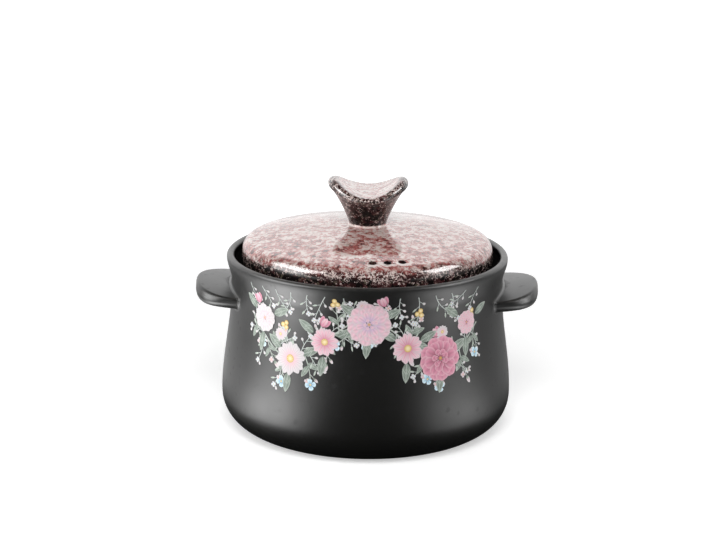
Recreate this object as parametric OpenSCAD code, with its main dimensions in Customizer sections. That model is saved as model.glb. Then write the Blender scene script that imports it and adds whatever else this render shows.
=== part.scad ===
// Chinese sand pot: a thick stoneware stew pot with two lug handles and a domed lid.
// The origin is on the ground under the middle of the pot, +Z is up and the front faces -Y.

/* [Pot] */
// Widest diameter of the pot, over its lip
rim_d = 220; // [200:1:260]
// Height of the pot, to the top of its lip
pot_h = 139; // [120:1:180]
// Thickness of the wall
wall_t = 6.5; // [5:0.5:9]
// Thickness of the floor, above the recess in the foot
floor_t = 6.5; // [5:0.5:10]
// How far the belly swells out past the neck
belly_swell = 7.9; // [3:0.1:16]
// Height of the widest part of the belly
belly_h = 28.3; // [22:0.1:40]
// How far below the top of the lip the wall turns upright
neck_drop = 27; // [24:0.5:36]

/* [Lip] */
// Radius of the rounded lip
lip_r = 3; // [2:0.1:4]
// How far the lip stands out past the neck
lip_proud = 3.6; // [1:0.1:6]
// How far below the top of the lip its flare starts
flare_drop = 19.5; // [14:0.5:23]

/* [Foot] */
// How far the foot stands in from the belly
foot_inset = 29; // [20:0.5:36]
// How square the heel is between the foot and the belly, where 2 is an ellipse
heel_squareness = 2.1; // [1.9:0.05:2.8]
// Width of the foot ring
foot_ring_w = 8; // [5:0.5:14]
// Depth of the recess inside the foot ring
foot_recess = 1.5; // [0.5:0.1:3]

/* [Gallery] */
// Depth of the ledge that carries the lid, below the top of the lip
gallery_depth = 7; // [5:0.5:11]
// Width of the ledge
ledge_w = 10.5; // [9:0.5:13]
// Thickness of the ledge at its inner edge
ledge_t = 4; // [3:0.5:6]
// Height over which the underside of the ledge runs back to the wall
ledge_back = 8; // [5:0.5:14]
// Rounding of the ledge's inner edge
ledge_edge_r = 1.2; // [0.5:0.1:2]

/* [Lugs] */
// How far a lug stands out from the neck
lug_reach = 27.6; // [18:0.2:40]
// Width of a lug along the wall
lug_w = 87; // [50:1:100]
// Thickness of a lug at its edge
lug_t = 11; // [10:0.5:16]
// How much thicker a lug is at its middle
lug_crown = 0.3; // [0.1:0.1:2]
// How far the free end of a lug rises above its root
lug_rise = 3; // [0:0.1:6]
// How far the top edge of a lug lies below the top of the lip
lug_drop = 26.8; // [24:0.2:45]
// How much lower the top of a lug lies at its two ends than at its middle
lug_sag = 3.6; // [0:0.2:5]
// Rounding along the top edge of a lug
lug_top_edge_r = 1.8; // [1.2:0.1:3]
// Rounding along the bottom edge of a lug
lug_keel_edge_r = 6.8; // [3:0.1:7]
// How square the top of a lug is in plan, where 2 is an ellipse
lug_squareness = 2.2; // [2:0.1:8]
// How square the underside of a lug is in plan
lug_keel_squareness = 3.8; // [2.2:0.1:6]
// Thickness of the slip joint between a lug and the wall
slip_t = 0.03; // [0.02:0.01:0.1]

/* [Lid] */
// Gap between the edge of the lid and the wall of the gallery
lid_gap = 6; // [3:0.2:7]
// Height of the lid above the ledge, at its crown
lid_rise = 29.3; // [24:0.1:45]
// How much of that height is the shallow crown
lid_crown = 12.7; // [6:0.1:18]
// Rounding of the lid's shoulder
shoulder_r = 10; // [4:0.5:13]
// Thickness of the lid
lid_t = 6.5; // [5:0.5:9]
// Rounding of the lid's bottom edge
lid_foot_r = 1.5; // [0.5:0.1:2]
// Depth of the skirt that locates the lid inside the ledge
skirt_depth = 7; // [4:0.5:14]
// Thickness of the skirt
skirt_t = 4.5; // [3.5:0.1:4.8]
// Gap between the skirt and the ledge
skirt_gap = 1; // [0.4:0.1:2]

/* [Steam holes] */
// Diameter of a steam hole
steam_d = 5.4; // [3:0.2:7]
// Number of steam holes
steam_n = 3; // [1:1:5]
// Distance between neighbouring steam holes
steam_pitch = 11.2; // [8:0.2:16]
// Distance of the steam holes in from the inside of the skirt
steam_inset = 3.9; // [3.2:0.1:12]
// Turn of the middle hole away from the front of the lid, in degrees
steam_turn = 10.3; // [-30:0.1:30]

/* [Knob] */
// Width of the knob from tip to tip
knob_d = 62.5; // [50:0.5:76]
// Diameter of the knob's neck
knob_neck_d = 28.8; // [22:0.2:36]
// Height of the knob's tips above the lid
knob_h = 37.4; // [33:0.1:45]
// Height of the middle of the saddle above the lid
saddle_h = 26.3; // [20:0.1:28]
// Radius of the knob's rolled edge at the tips
knob_tip_r = 4.4; // [3.2:0.1:5]
// Radius of the knob's rolled edge at the front and back
knob_side_r = 2.8; // [2:0.1:3.2]
// Lean of the flank from upright where it leaves the neck, in degrees
knob_lean_low = 17; // [5:1:25]
// Lean of the flank from upright where it meets the rolled edge, in degrees
knob_lean_high = 50; // [40:1:60]
// Radius of the fillet round the bottom of the neck
knob_fillet_r = 1; // [0.5:0.1:2]

/* [Hidden] */

$fn = 96;

black_glaze = [0.09, 0.09, 0.09];
pink_glaze = [0.78, 0.60, 0.60];
dark_pink_glaze = [0.55, 0.40, 0.40];

// Radii and heights of the pot that follow from the sizes above
rim_r = rim_d / 2;
neck_r = rim_r - lip_proud;
belly_r = neck_r + belly_swell;
foot_r = belly_r - foot_inset;
lip_z = pot_h - lip_r;
flare_z = pot_h - flare_drop;
neck_z = pot_h - neck_drop;
floor_z = foot_recess + floor_t;
gallery_r = rim_r - 2 * lip_r;
ledge_in_r = gallery_r - ledge_w;
seat_z = pot_h - gallery_depth;
ledge_root_z = seat_z - ledge_t - ledge_back;

// Radii and heights of the lid
lid_r = gallery_r - lid_gap;
crown_z = seat_z + lid_rise;
dome_r = (lid_r * lid_r + lid_crown * lid_crown) / (2 * lid_crown);
dome_centre_z = crown_z - dome_r;
skirt_out_r = ledge_in_r - skirt_gap;
skirt_in_r = skirt_out_r - skirt_t;
steam_r = skirt_in_r - steam_inset;

// The flat on the crown where the knob is joined
knob_foot_r = knob_neck_d / 2 + knob_fillet_r;
pad_z = dome_centre_z + sqrt(dome_r * dome_r - knob_foot_r * knob_foot_r);

// Counts of steps along curves
heel_steps = 14;
wall_steps = 26;
flare_steps = 10;
lip_steps = 14;
edge_steps = 4;
shoulder_steps = 10;
dome_steps = 16;
lug_outline_steps = 48;
lug_wall_steps = 40;
lug_edge_steps = 6;
lug_crown_steps = 4;
knob_sides = 64;
knob_fillet_steps = 3;
knob_flank_steps = 9;
knob_roll_steps = 8;
knob_saddle_steps = 5;

// A cut or a drill runs this far past the surface it opens
past = 1;

// Rises from 0 to 1 with a level start and a level end
function ease(u) = u * u * (3 - 2 * u);

// Outer radius of the pot from the belly up to the lip
function wall_r(z) =
    z < neck_z ? belly_r - belly_swell * ease((z - belly_h) / (neck_z - belly_h))
    : z < flare_z ? neck_r
    : neck_r + lip_proud * ease((z - flare_z) / (lip_z - flare_z));

// Points of a heel, from its flat bottom up to its upright side
function heel(in_r, low_z, high_z) = [
    for (i = [0 : heel_steps])
        let (a = 90 * i / heel_steps, p = 2 / heel_squareness)
            [in_r + foot_inset * pow(sin(a), p), low_z + (high_z - low_z) * (1 - pow(cos(a), p))]
];

// Points of an arc from one angle to another
function arc(centre, r, from, to, steps) = [
    for (i = [0 : steps])
        let (a = from + (to - from) * i / steps) centre + r * [cos(a), sin(a)]
];

// A list in the opposite order
function reversed(list) = [for (i = [len(list) - 1 : -1 : 0]) list[i]];

// Heights along the wall, from the belly to the lip, without the two ends
wall_heights = concat(
    [for (i = [1 : wall_steps]) belly_h + (neck_z - belly_h) * i / wall_steps],
    [for (i = [0 : flare_steps - 1]) flare_z + (lip_z - flare_z) * i / flare_steps]
);

// Outside of the pot, from the foot ring to the inside of the lip
pot_outside = concat(
    heel(foot_r, 0, belly_h),
    [for (z = wall_heights) [wall_r(z), z]],
    arc([rim_r - lip_r, lip_z], lip_r, 0, 180, lip_steps)
);

// Inside of the pot, from the middle of the floor up to the ledge
inner_heights = [for (z = wall_heights) if (z < ledge_root_z) z];
pot_inside = concat(
    [[0, floor_z]],
    heel(belly_r - wall_t - foot_inset, floor_z, belly_h),
    [for (z = inner_heights) [wall_r(z) - wall_t, z]],
    [[wall_r(ledge_root_z) - wall_t, ledge_root_z], [ledge_in_r, seat_z - ledge_t]],
    reversed(arc([ledge_in_r + ledge_edge_r, seat_z - ledge_edge_r], ledge_edge_r, 90, 180, edge_steps)),
    [[gallery_r, seat_z]]
);

module pot_body() {
    color(black_glaze)
        rotate_extrude()
            polygon(concat(
                [[0, foot_recess], [foot_r - foot_ring_w, foot_recess], [foot_r - foot_ring_w, 0]],
                pot_outside,
                reversed(pot_inside)
            ));
}

// A lug is a stack of outlines. Each layer is a height at the wall and how far its outline is
// drawn in. The layers run in under the lug, up round its edges and in again over its crown.
lug_top_z = pot_h - lug_drop;
lug_bottom_z = lug_top_z - lug_t;
lug_face_steps = [for (i = [1 : lug_crown_steps]) i / (lug_crown_steps + 1)];
function lug_face_inset(edge_r, u) = edge_r + (lug_reach / 2 - edge_r) * u;
lug_layers = concat(
    [for (u = reversed(lug_face_steps)) [lug_bottom_z, lug_face_inset(lug_keel_edge_r, u)]],
    [for (i = [0 : lug_edge_steps])
        let (a = -90 + 90 * i / lug_edge_steps)
            [lug_bottom_z + lug_keel_edge_r * (1 + sin(a)), lug_keel_edge_r * (1 - cos(a))]],
    [for (i = [0 : lug_edge_steps])
        let (a = 90 * i / lug_edge_steps)
            [lug_top_z - lug_top_edge_r * (1 - sin(a)), lug_top_edge_r * (1 - cos(a))]],
    [for (u = lug_face_steps)
        [lug_top_z + lug_crown * u * (2 - u), lug_face_inset(lug_top_edge_r, u)]]
);

// Height of a layer at a place along the wall: the top falls towards both ends of the lug
function lug_level(y, z) =
    z - lug_sag * ease(min((z - lug_bottom_z) / lug_t, 1)) * (pow(2 * y / lug_w, 2) - 0.5);

// Radius at which a layer meets the wall
function lug_root_r(y, z) = wall_r(lug_level(y, z)) + slip_t;

// A lug's point at a place in plan, lifted with its distance from the wall
function lug_point(x, y, z) =
    [x, y, lug_level(y, z) + lug_rise * (norm([x, y]) - lug_root_r(y, z)) / lug_reach];

// One layer's outline: round the free edge of the lug, then back along the wall of the pot
function lug_outline(z, inset) =
    let (
        half_w = lug_w / 2 - inset,
        root_x = sqrt(pow(lug_root_r(half_w, z), 2) - half_w * half_w),
        reach = neck_r + lug_reach - inset - root_x,
        up = (z - lug_bottom_z) / (lug_t + lug_crown),
        p = 2 / (lug_keel_squareness + (lug_squareness - lug_keel_squareness) * up)
    )
    concat(
        [for (i = [0 : lug_outline_steps])
            let (a = -90 + 180 * i / lug_outline_steps)
                lug_point(root_x + reach * pow(abs(cos(a)), p), half_w * sign(a) * pow(abs(sin(a)), p), z)],
        [for (i = [1 : lug_wall_steps - 1])
            let (y = half_w * (1 - 2 * i / lug_wall_steps))
                lug_point(sqrt(pow(lug_root_r(y, z), 2) - y * y), y, z)]
    );

// A closed solid through a list of rings that all hold as many points. Each end is closed by
// a flat face, or by a fan to a point if one is given.
module ring_stack(rings, low_tip = [], high_tip = []) {
    n = len(rings[0]);
    last = len(rings) - 1;
    low_i = len(rings) * n;
    high_i = low_i + (len(low_tip) == 0 ? 0 : 1);
    polyhedron(
        points = concat(
            [for (ring = rings) each ring],
            len(low_tip) == 0 ? [] : [low_tip],
            len(high_tip) == 0 ? [] : [high_tip]
        ),
        faces = concat(
            len(low_tip) == 0
                ? [[for (j = [0 : n - 1]) j]]
                : [for (j = [0 : n - 1]) [j, (j + 1) % n, low_i]],
            [for (i = [0 : last - 1], j = [0 : n - 1])
                let (k = (j + 1) % n) each [
                    [i * n + j, (i + 1) * n + j, (i + 1) * n + k],
                    [i * n + j, (i + 1) * n + k, i * n + k]
                ]],
            len(high_tip) == 0
                ? [[for (j = [n - 1 : -1 : 0]) last * n + j]]
                : [for (j = [0 : n - 1]) [last * n + j, high_i, last * n + (j + 1) % n]]
        ),
        convexity = 4
    );
}

module lug() {
    middle_x = neck_r + lug_reach / 3;
    color(black_glaze)
        ring_stack(
            [for (layer = lug_layers) lug_outline(layer[0], layer[1])],
            low_tip = lug_point(middle_x, 0, lug_bottom_z),
            high_tip = lug_point(middle_x, 0, lug_top_z + lug_crown)
        );
}

module lug_handle_right() {
    lug();
}

module lug_handle_left() {
    mirror([1, 0, 0])
        lug();
}

// Outside of the lid, from its bottom edge over the shoulder to the flat under the knob
dome_from = asin((lid_r - shoulder_r) / (dome_r - shoulder_r));
shoulder_z = dome_centre_z + (dome_r - shoulder_r) * cos(dome_from);
shoulder_arc = arc([lid_r - shoulder_r, shoulder_z], shoulder_r, 0, 90 - dome_from, shoulder_steps);
dome_to = asin(knob_foot_r / dome_r);
lid_outside = concat(
    arc([lid_r - lid_foot_r, seat_z + lid_foot_r], lid_foot_r, -90, 0, edge_steps),
    shoulder_arc,
    [for (i = [1 : dome_steps])
        let (a = dome_from + (dome_to - dome_from) * i / dome_steps)
            [dome_r * sin(a), dome_centre_z + dome_r * cos(a)]],
    [[0, pad_z]]
);

// Underside of the lid, from the middle out to the skirt
under_r = dome_r - lid_t;
lid_inside = concat(
    [for (i = [0 : dome_steps])
        let (a = asin(skirt_in_r / under_r) * i / dome_steps)
            [under_r * sin(a), dome_centre_z + under_r * cos(a)]],
    [[skirt_in_r, seat_z - skirt_depth], [skirt_out_r, seat_z - skirt_depth], [skirt_out_r, seat_z]]
);

module lid_shell() {
    step = 2 * asin(steam_pitch / (2 * steam_r));
    color(pink_glaze)
        difference() {
            rotate_extrude()
                polygon(concat(lid_inside, lid_outside));
            for (i = [0 : steam_n - 1])
                rotate(steam_turn + (i - (steam_n - 1) / 2) * step)
                    translate([0, -steam_r, seat_z])
                        cylinder(h = lid_rise + past, d = steam_d);
        }
}

// The knob's rolled edge is a tube whose middle runs at roll_r from the axis. The top dips
// between the tips as a parabola along X, which is the same at every Y.
roll_r = knob_d / 2 - knob_tip_r;
function roll_tube_r(t) = knob_side_r + (knob_tip_r - knob_side_r) * pow(cos(t), 2);
function saddle_dip(b) =
    (knob_h - knob_tip_r + knob_tip_r * cos(b) - saddle_h) / pow(roll_r - knob_tip_r * sin(b), 2);
function tip_lean(b, n) =
    n == 0 ? b : tip_lean(atan(2 * saddle_dip(b) * (roll_r - knob_tip_r * sin(b))), n - 1);
dip = saddle_dip(tip_lean(40, 30));
function saddle_z(x) = saddle_h + dip * x * x;

// Lean of the saddle's surface where it leaves the rolled edge, at a turn t from the tip
function roll_lean(t, b, n) =
    n == 0 ? b
    : roll_lean(t, atan(2 * dip * (roll_r - roll_tube_r(t) * sin(b)) * pow(cos(t), 2)), n - 1);

// A point between four control points of a smooth curve
function bezier(a, b, c, d, u) =
    pow(1 - u, 3) * a + 3 * pow(1 - u, 2) * u * b + 3 * (1 - u) * u * u * c + pow(u, 3) * d;

// One upright slice of the knob, as radius and height, from the foot to near the middle
function knob_slice(t) =
    let (
        tube = roll_tube_r(t),
        lean = roll_lean(t, 0, 30),
        edge_r = roll_r - tube * sin(lean),
        roll = [roll_r, saddle_z(edge_r * cos(t)) - tube * cos(lean)],
        low = [knob_neck_d / 2, knob_fillet_r],
        high = roll + tube * [cos(knob_lean_high), -sin(knob_lean_high)],
        span = norm(high - low),
        low_pull = low + 0.33 * span * [sin(knob_lean_low), cos(knob_lean_low)],
        high_pull = high - 0.15 * span * [sin(knob_lean_high), cos(knob_lean_high)]
    )
    concat(
        arc([knob_foot_r, knob_fillet_r], knob_fillet_r, 270, 180, knob_fillet_steps),
        [for (i = [1 : knob_flank_steps]) bezier(low, low_pull, high_pull, high, i / knob_flank_steps)],
        [for (i = [1 : knob_roll_steps])
            let (a = -knob_lean_high + (90 + lean + knob_lean_high) * i / knob_roll_steps)
                roll + tube * [cos(a), sin(a)]],
        [for (i = [1 : knob_saddle_steps])
            let (r = edge_r * (1 - i / (knob_saddle_steps + 1))) [r, saddle_z(r * cos(t))]]
    );

module lid_knob() {
    slices = [for (j = [0 : knob_sides - 1]) knob_slice(360 * j / knob_sides)];
    color(dark_pink_glaze)
        translate([0, 0, pad_z])
            ring_stack(
                [for (i = [0 : len(slices[0]) - 1])
                    [for (j = [0 : knob_sides - 1])
                        let (t = 360 * j / knob_sides, p = slices[j][i])
                            [p[0] * cos(t), p[0] * sin(t), p[1]]]],
                high_tip = [0, 0, saddle_h]
            );
}

pot_body();
lug_handle_left();
lug_handle_right();
lid_shell();
lid_knob();
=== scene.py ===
"""Looks of a Chinese sand pot: a satin black stoneware pot with a speckled pink lid.

Shapes are worked out in millimetres and become metres when a mesh is made. The origin is on
the ground under the middle of the pot, +Z is up and the decorated front faces -Y.
"""

import logging
import math
from dataclasses import dataclass, field
from enum import Enum
from functools import reduce
from typing import Any

import bmesh
import bpy
import numpy as np
from mathutils import Matrix, Vector


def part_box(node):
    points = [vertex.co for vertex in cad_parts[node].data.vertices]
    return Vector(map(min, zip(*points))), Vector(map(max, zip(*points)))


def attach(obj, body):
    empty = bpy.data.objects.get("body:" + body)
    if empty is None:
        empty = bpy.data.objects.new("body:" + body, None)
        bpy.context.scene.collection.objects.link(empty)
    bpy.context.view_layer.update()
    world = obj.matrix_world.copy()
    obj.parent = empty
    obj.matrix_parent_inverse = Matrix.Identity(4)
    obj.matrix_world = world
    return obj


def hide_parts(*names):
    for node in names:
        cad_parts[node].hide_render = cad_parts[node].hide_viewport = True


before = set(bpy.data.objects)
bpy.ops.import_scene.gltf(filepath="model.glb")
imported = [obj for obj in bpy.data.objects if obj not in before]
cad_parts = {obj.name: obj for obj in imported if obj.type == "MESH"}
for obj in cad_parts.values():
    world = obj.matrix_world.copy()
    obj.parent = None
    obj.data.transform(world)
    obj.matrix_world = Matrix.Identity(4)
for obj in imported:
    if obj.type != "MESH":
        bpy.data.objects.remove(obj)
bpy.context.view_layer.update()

log = logging.getLogger("sand_pot")

Array = np.ndarray
Pair = tuple[float, float]
Triple = tuple[float, float, float]
MM = 0.001
HALF_TURN = math.pi
TURN = 2 * math.pi
SAME_PLACE = 1e-6
RUGGED = 0.55


def ease(u: Array) -> Array:
    """Rises from 0 to 1 with a level start and end: u * u * (3 - 2 u), for u held in 0 to 1."""
    held = np.clip(u, 0, 1)
    return held * held * (3 - 2 * held)


def line(start: Pair, end: Pair, steps: int) -> Array:
    """Evenly spaced points on a straight line, both ends included."""
    return np.linspace(start, end, steps + 1)


def arc(centre: Pair, radius: float, start: float, end: float, steps: int) -> Array:
    """Points of a circle from one angle to another.

    Args:
        centre: The circle's middle.
        radius: Its radius.
        start: The first angle, in degrees from the first axis.
        end: The last angle.
        steps: How many steps lie between them.

    Returns:
        Points centre + radius * (cos a, sin a), one row each.
    """
    angle = np.radians(np.linspace(start, end, steps + 1))
    return np.array(centre) + radius * np.stack([np.cos(angle), np.sin(angle)], axis=1)


def joined(*runs: Array) -> Array:
    """Runs of points one after another.

    Args:
        *runs: The runs, with one row for each point.

    Returns:
        Their points, without the one that two neighbours share.
    """
    points = np.concatenate(runs)
    apart = np.linalg.norm(np.diff(points, axis=0), axis=1) > SAME_PLACE
    return points[np.concatenate([[True], apart])]


def grid_faces(rows: int, columns: int, closed: bool) -> Array:
    """Quads between the points of a grid that is stored row by row.

    Args:
        rows: Number of rows.
        columns: Points in a row.
        closed: Whether the last column joins the first.

    Returns:
        Four point numbers for each quad.
    """
    row = np.arange(rows - 1)[:, None] * columns
    column = np.arange(columns if closed else columns - 1)[None, :]
    after = (column + 1) % columns
    corners = [row + column, row + after, row + columns + after, row + columns + column]
    return np.stack(np.broadcast_arrays(*corners), axis=-1).reshape(-1, 4)


def capped_faces(rows: int, columns: int) -> list[list[int]]:
    """Faces of a stack of rings that closes to a pole at each end.

    Args:
        rows: Number of rings, which are stored one after another.
        columns: Points in a ring.

    Returns:
        Point numbers of each face. The first ring's pole and the last one's follow the rings.
    """
    low, last = rows * columns, (rows - 1) * columns
    here = np.arange(columns)
    after = (here + 1) % columns
    fans = [np.stack([np.full(columns, low), after, here], axis=1),
            np.stack([np.full(columns, low + 1), last + here, last + after], axis=1)]
    return grid_faces(rows, columns, closed=True).tolist() + np.concatenate(fans).tolist()


@dataclass
class Shape:
    """Points in millimetres, the faces between them and what is painted on them."""

    points: Array
    faces: list[list[int]]
    paint: dict[str, Array] = field(default_factory=dict)

    def plus(self, other: "Shape") -> "Shape":
        """Both shapes as one, which isn't painted yet."""
        moved = [[corner + len(self.points) for corner in face] for face in other.faces]
        return Shape(np.concatenate([self.points, other.points]), self.faces + moved)

    def piece(self, name: str, material: bpy.types.Material,
              outward: bool = True) -> bpy.types.Object:
        """Makes the Blender object.

        Args:
            name: The piece's name.
            material: Its finish.
            outward: Whether to turn every face outwards, for a closed shape.

        Returns:
            An object at the origin whose mesh is in metres and shaded smooth.
        """
        mesh = bpy.data.meshes.new(name)
        mesh.from_pydata((self.points * MM).tolist(), [], self.faces)
        for label, values in self.paint.items():
            kind, slot = ("FLOAT_COLOR", "color") if values.ndim == 2 else ("FLOAT", "value")
            layer = mesh.attributes.new(label, kind, "POINT")
            layer.data.foreach_set(slot, values.astype(np.float32).ravel())
        if outward:
            work = bmesh.new()
            work.from_mesh(mesh)
            bmesh.ops.recalc_face_normals(work, faces=work.faces)
            work.to_mesh(mesh)
            work.free()
        mesh.shade_smooth()
        mesh.materials.append(material)
        thing = bpy.data.objects.new(name, mesh)
        bpy.context.scene.collection.objects.link(thing)
        return thing


def turned(outline: Array, sides: int, paint: dict[str, Array] | None = None) -> Shape:
    """The closed shape that an outline sweeps as it turns once about Z.

    A point (r, z) of the outline goes to (r cos a, r sin a, z) at each angle a. Both ends of
    the outline lie on the axis and become poles.

    Args:
        outline: Radius and height of each point, with the solid on the left of its path.
        sides: Number of angles.
        paint: A value for each point of the outline, under each name.

    Returns:
        The shape, with its paint the same all the way round.
    """
    angle = np.linspace(0, TURN, sides, endpoint=False)
    ring = outline[1:-1]
    x = ring[:, :1] * np.cos(angle)
    y = ring[:, :1] * np.sin(angle)
    z = np.broadcast_to(ring[:, 1:], x.shape)
    poles = [[0, 0, outline[0, 1]], [0, 0, outline[-1, 1]]]
    points = np.concatenate([np.stack([x, y, z], axis=-1).reshape(-1, 3), poles])
    spread = {name: np.concatenate([np.repeat(values[1:-1], sides), values[[0, -1]]])
              for name, values in (paint or {}).items()}
    return Shape(points, capped_faces(len(ring), sides), spread)


class Wire:
    """A shader socket that takes part in arithmetic: each operator adds a Math node."""

    def __init__(self, web: "Web", socket: bpy.types.NodeSocket) -> None:
        """Holds the socket and the web that it belongs to."""
        self.web = web
        self.socket = socket

    def _math(self, operation: str, first: "Wire | float", second: "Wire | float") -> "Wire":
        """One Math node on two values."""
        return self.web.node("Math", {"operation": operation}, {0: first, 1: second})

    def __add__(self, other: "Wire | float") -> "Wire":
        """This plus the other."""
        return self._math("ADD", self, other)

    def __radd__(self, other: float) -> "Wire":
        """A number plus this."""
        return self._math("ADD", other, self)

    def __sub__(self, other: "Wire | float") -> "Wire":
        """This less the other."""
        return self._math("SUBTRACT", self, other)

    def __rsub__(self, other: float) -> "Wire":
        """A number less this."""
        return self._math("SUBTRACT", other, self)

    def __mul__(self, other: "Wire | float") -> "Wire":
        """This times the other."""
        return self._math("MULTIPLY", self, other)

    def __rmul__(self, other: float) -> "Wire":
        """A number times this."""
        return self._math("MULTIPLY", other, self)

    def __truediv__(self, other: "Wire | float") -> "Wire":
        """This over the other."""
        return self._math("DIVIDE", self, other)

    def most(self, other: "Wire | float") -> "Wire":
        """The larger of this and the other."""
        return self._math("MAXIMUM", self, other)

    def unsigned(self) -> "Wire":
        """This without its sign."""
        return self.most(0 - self)

    def within(self, low: float, high: float) -> "Wire":
        """Rises smoothly from 0 where this is at low to 1 where it is at high."""
        limits = {"Value": self, "From Min": low, "From Max": high}
        return self.web.node("MapRange", {"interpolation_type": "SMOOTHSTEP"}, limits)


class Web:
    """The nodes of one material or world, and the one way to add a node to them."""

    def __init__(self, owner: bpy.types.Material | bpy.types.World) -> None:
        """Clears the owner's nodes.

        Args:
            owner: The material or the world.
        """
        owner.use_nodes = True
        self.tree = owner.node_tree
        self.tree.nodes.clear()

    def node(self, kind: str, settings: dict[str, Any] | None = None,
             inputs: dict[str | int, Any] | None = None, output: str | int = 0) -> Wire:
        """Adds a node.

        Args:
            kind: The node's type, without the words ShaderNode in front.
            settings: Its settings, which are set first. Stops are those of a colour ramp.
            inputs: A value or a wire for each socket, by name or by number.
            output: The output that is returned.

        Returns:
            The wire of that output.
        """
        made = self.tree.nodes.new("ShaderNode" + kind)
        for name, value in (settings or {}).items():
            if name == "stops":
                self._set_stops(made.color_ramp, value)
            else:
                setattr(made, name, value)
        for name, value in (inputs or {}).items():
            if isinstance(value, Wire):
                self.tree.links.new(value.socket, made.inputs[name])
            elif made.inputs[name].type == "RGBA":
                made.inputs[name].default_value = (*value, 1)
            else:
                made.inputs[name].default_value = value
        return Wire(self, made.outputs[output] if len(made.outputs) else None)

    @staticmethod
    def _set_stops(ramp: bpy.types.ColorRamp, stops: list[tuple[float, Triple]]) -> None:
        """Gives a colour ramp its stops.

        Args:
            ramp: The ramp.
            stops: The place and the colour of each.
        """
        while len(ramp.elements) < len(stops):
            ramp.elements.new(1)
        for element, (place, colour) in zip(ramp.elements, stops):
            element.position = place
            element.color = (*colour, 1)

    def place(self, scale: float = 1 / MM) -> Wire:
        """The point on the object, in millimetres unless another scale is given."""
        raw = self.node("TexCoord", output="Object")
        return self.node("VectorMath", {"operation": "SCALE"}, {0: raw, "Scale": scale})

    def part(self, vector: Wire, axis: str) -> Wire:
        """One of a vector's X, Y and Z."""
        return self.node("SeparateXYZ", None, {0: vector}, axis)

    def grey(self, light: Wire) -> Wire:
        """A grey of a given light."""
        return self.node("CombineXYZ", None, {0: light, 1: light, 2: light})

    def noise(self, place: Wire, size: float, detail: float = 3, output: str = "Fac") -> Wire:
        """Soft noise whose lumps are about size across."""
        inputs = {"Vector": place, "Scale": 1 / size, "Detail": detail, "Roughness": RUGGED}
        return self.node("TexNoise", None, inputs, output)

    def grains(self, place: Wire, size: float) -> Wire:
        """A random value for each cell of a mosaic whose cells are about size across."""
        cell = self.node("TexVoronoi", None, {"Vector": place, "Scale": 1 / size}, "Color")
        return self.node("SeparateColor", None, {0: cell})

    def painted(self, name: str, output: str = "Fac") -> Wire:
        """What is painted on the mesh under a name."""
        return self.node("Attribute", {"attribute_name": name}, output=output)

    def blend(self, share: Wire | float, first: Any, second: Any) -> Wire:
        """A colour that goes from the first to the second as share goes from 0 to 1."""
        colours = {0: share, 6: first, 7: second}
        return self.node("Mix", {"data_type": "RGBA"}, colours, output=2)

    def bumped(self, height: Wire, depth: float, before: Wire | None = None) -> Wire:
        """The surface's direction with a relief on it.

        Args:
            height: The relief, from 0 to 1.
            depth: How far 1 stands over 0, in millimetres.
            before: A relief that this one lies on.

        Returns:
            The wire for a shader's Normal or for the next relief.
        """
        inputs = {"Height": height, "Distance": depth * MM}
        if before is not None:
            inputs["Normal"] = before
        return self.node("Bump", None, inputs)

    def finish(self, inputs: dict[str, Any], share: Wire | None = None,
               other: Wire | None = None) -> None:
        """Closes a material with a Principled shader.

        Args:
            inputs: A value or a wire for each of its sockets.
            share: How much of it gives way to another shader, from 0 to 1.
            other: The other shader.
        """
        shader = self.node("BsdfPrincipled", None, inputs)
        if share is not None:
            shader = self.node("MixShader", None, {0: share, 1: shader, 2: other})
        self.node("OutputMaterial", None, {"Surface": shader})


def tone(red: int, green: int, blue: int) -> Triple:
    """The linear light that shaders take for a colour as on a paint chart, by the sRGB curve.

    Args:
        red: Its red, from 0 to 255.
        green: Its green.
        blue: Its blue.

    Returns:
        Red, green and blue light, from 0 to 1.
    """
    share = np.array([red, green, blue]) / 255
    linear = np.where(share <= 0.04045, share / 12.92, ((share + 0.055) / 1.055) ** 2.4)
    return tuple(float(part) for part in linear)


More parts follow.
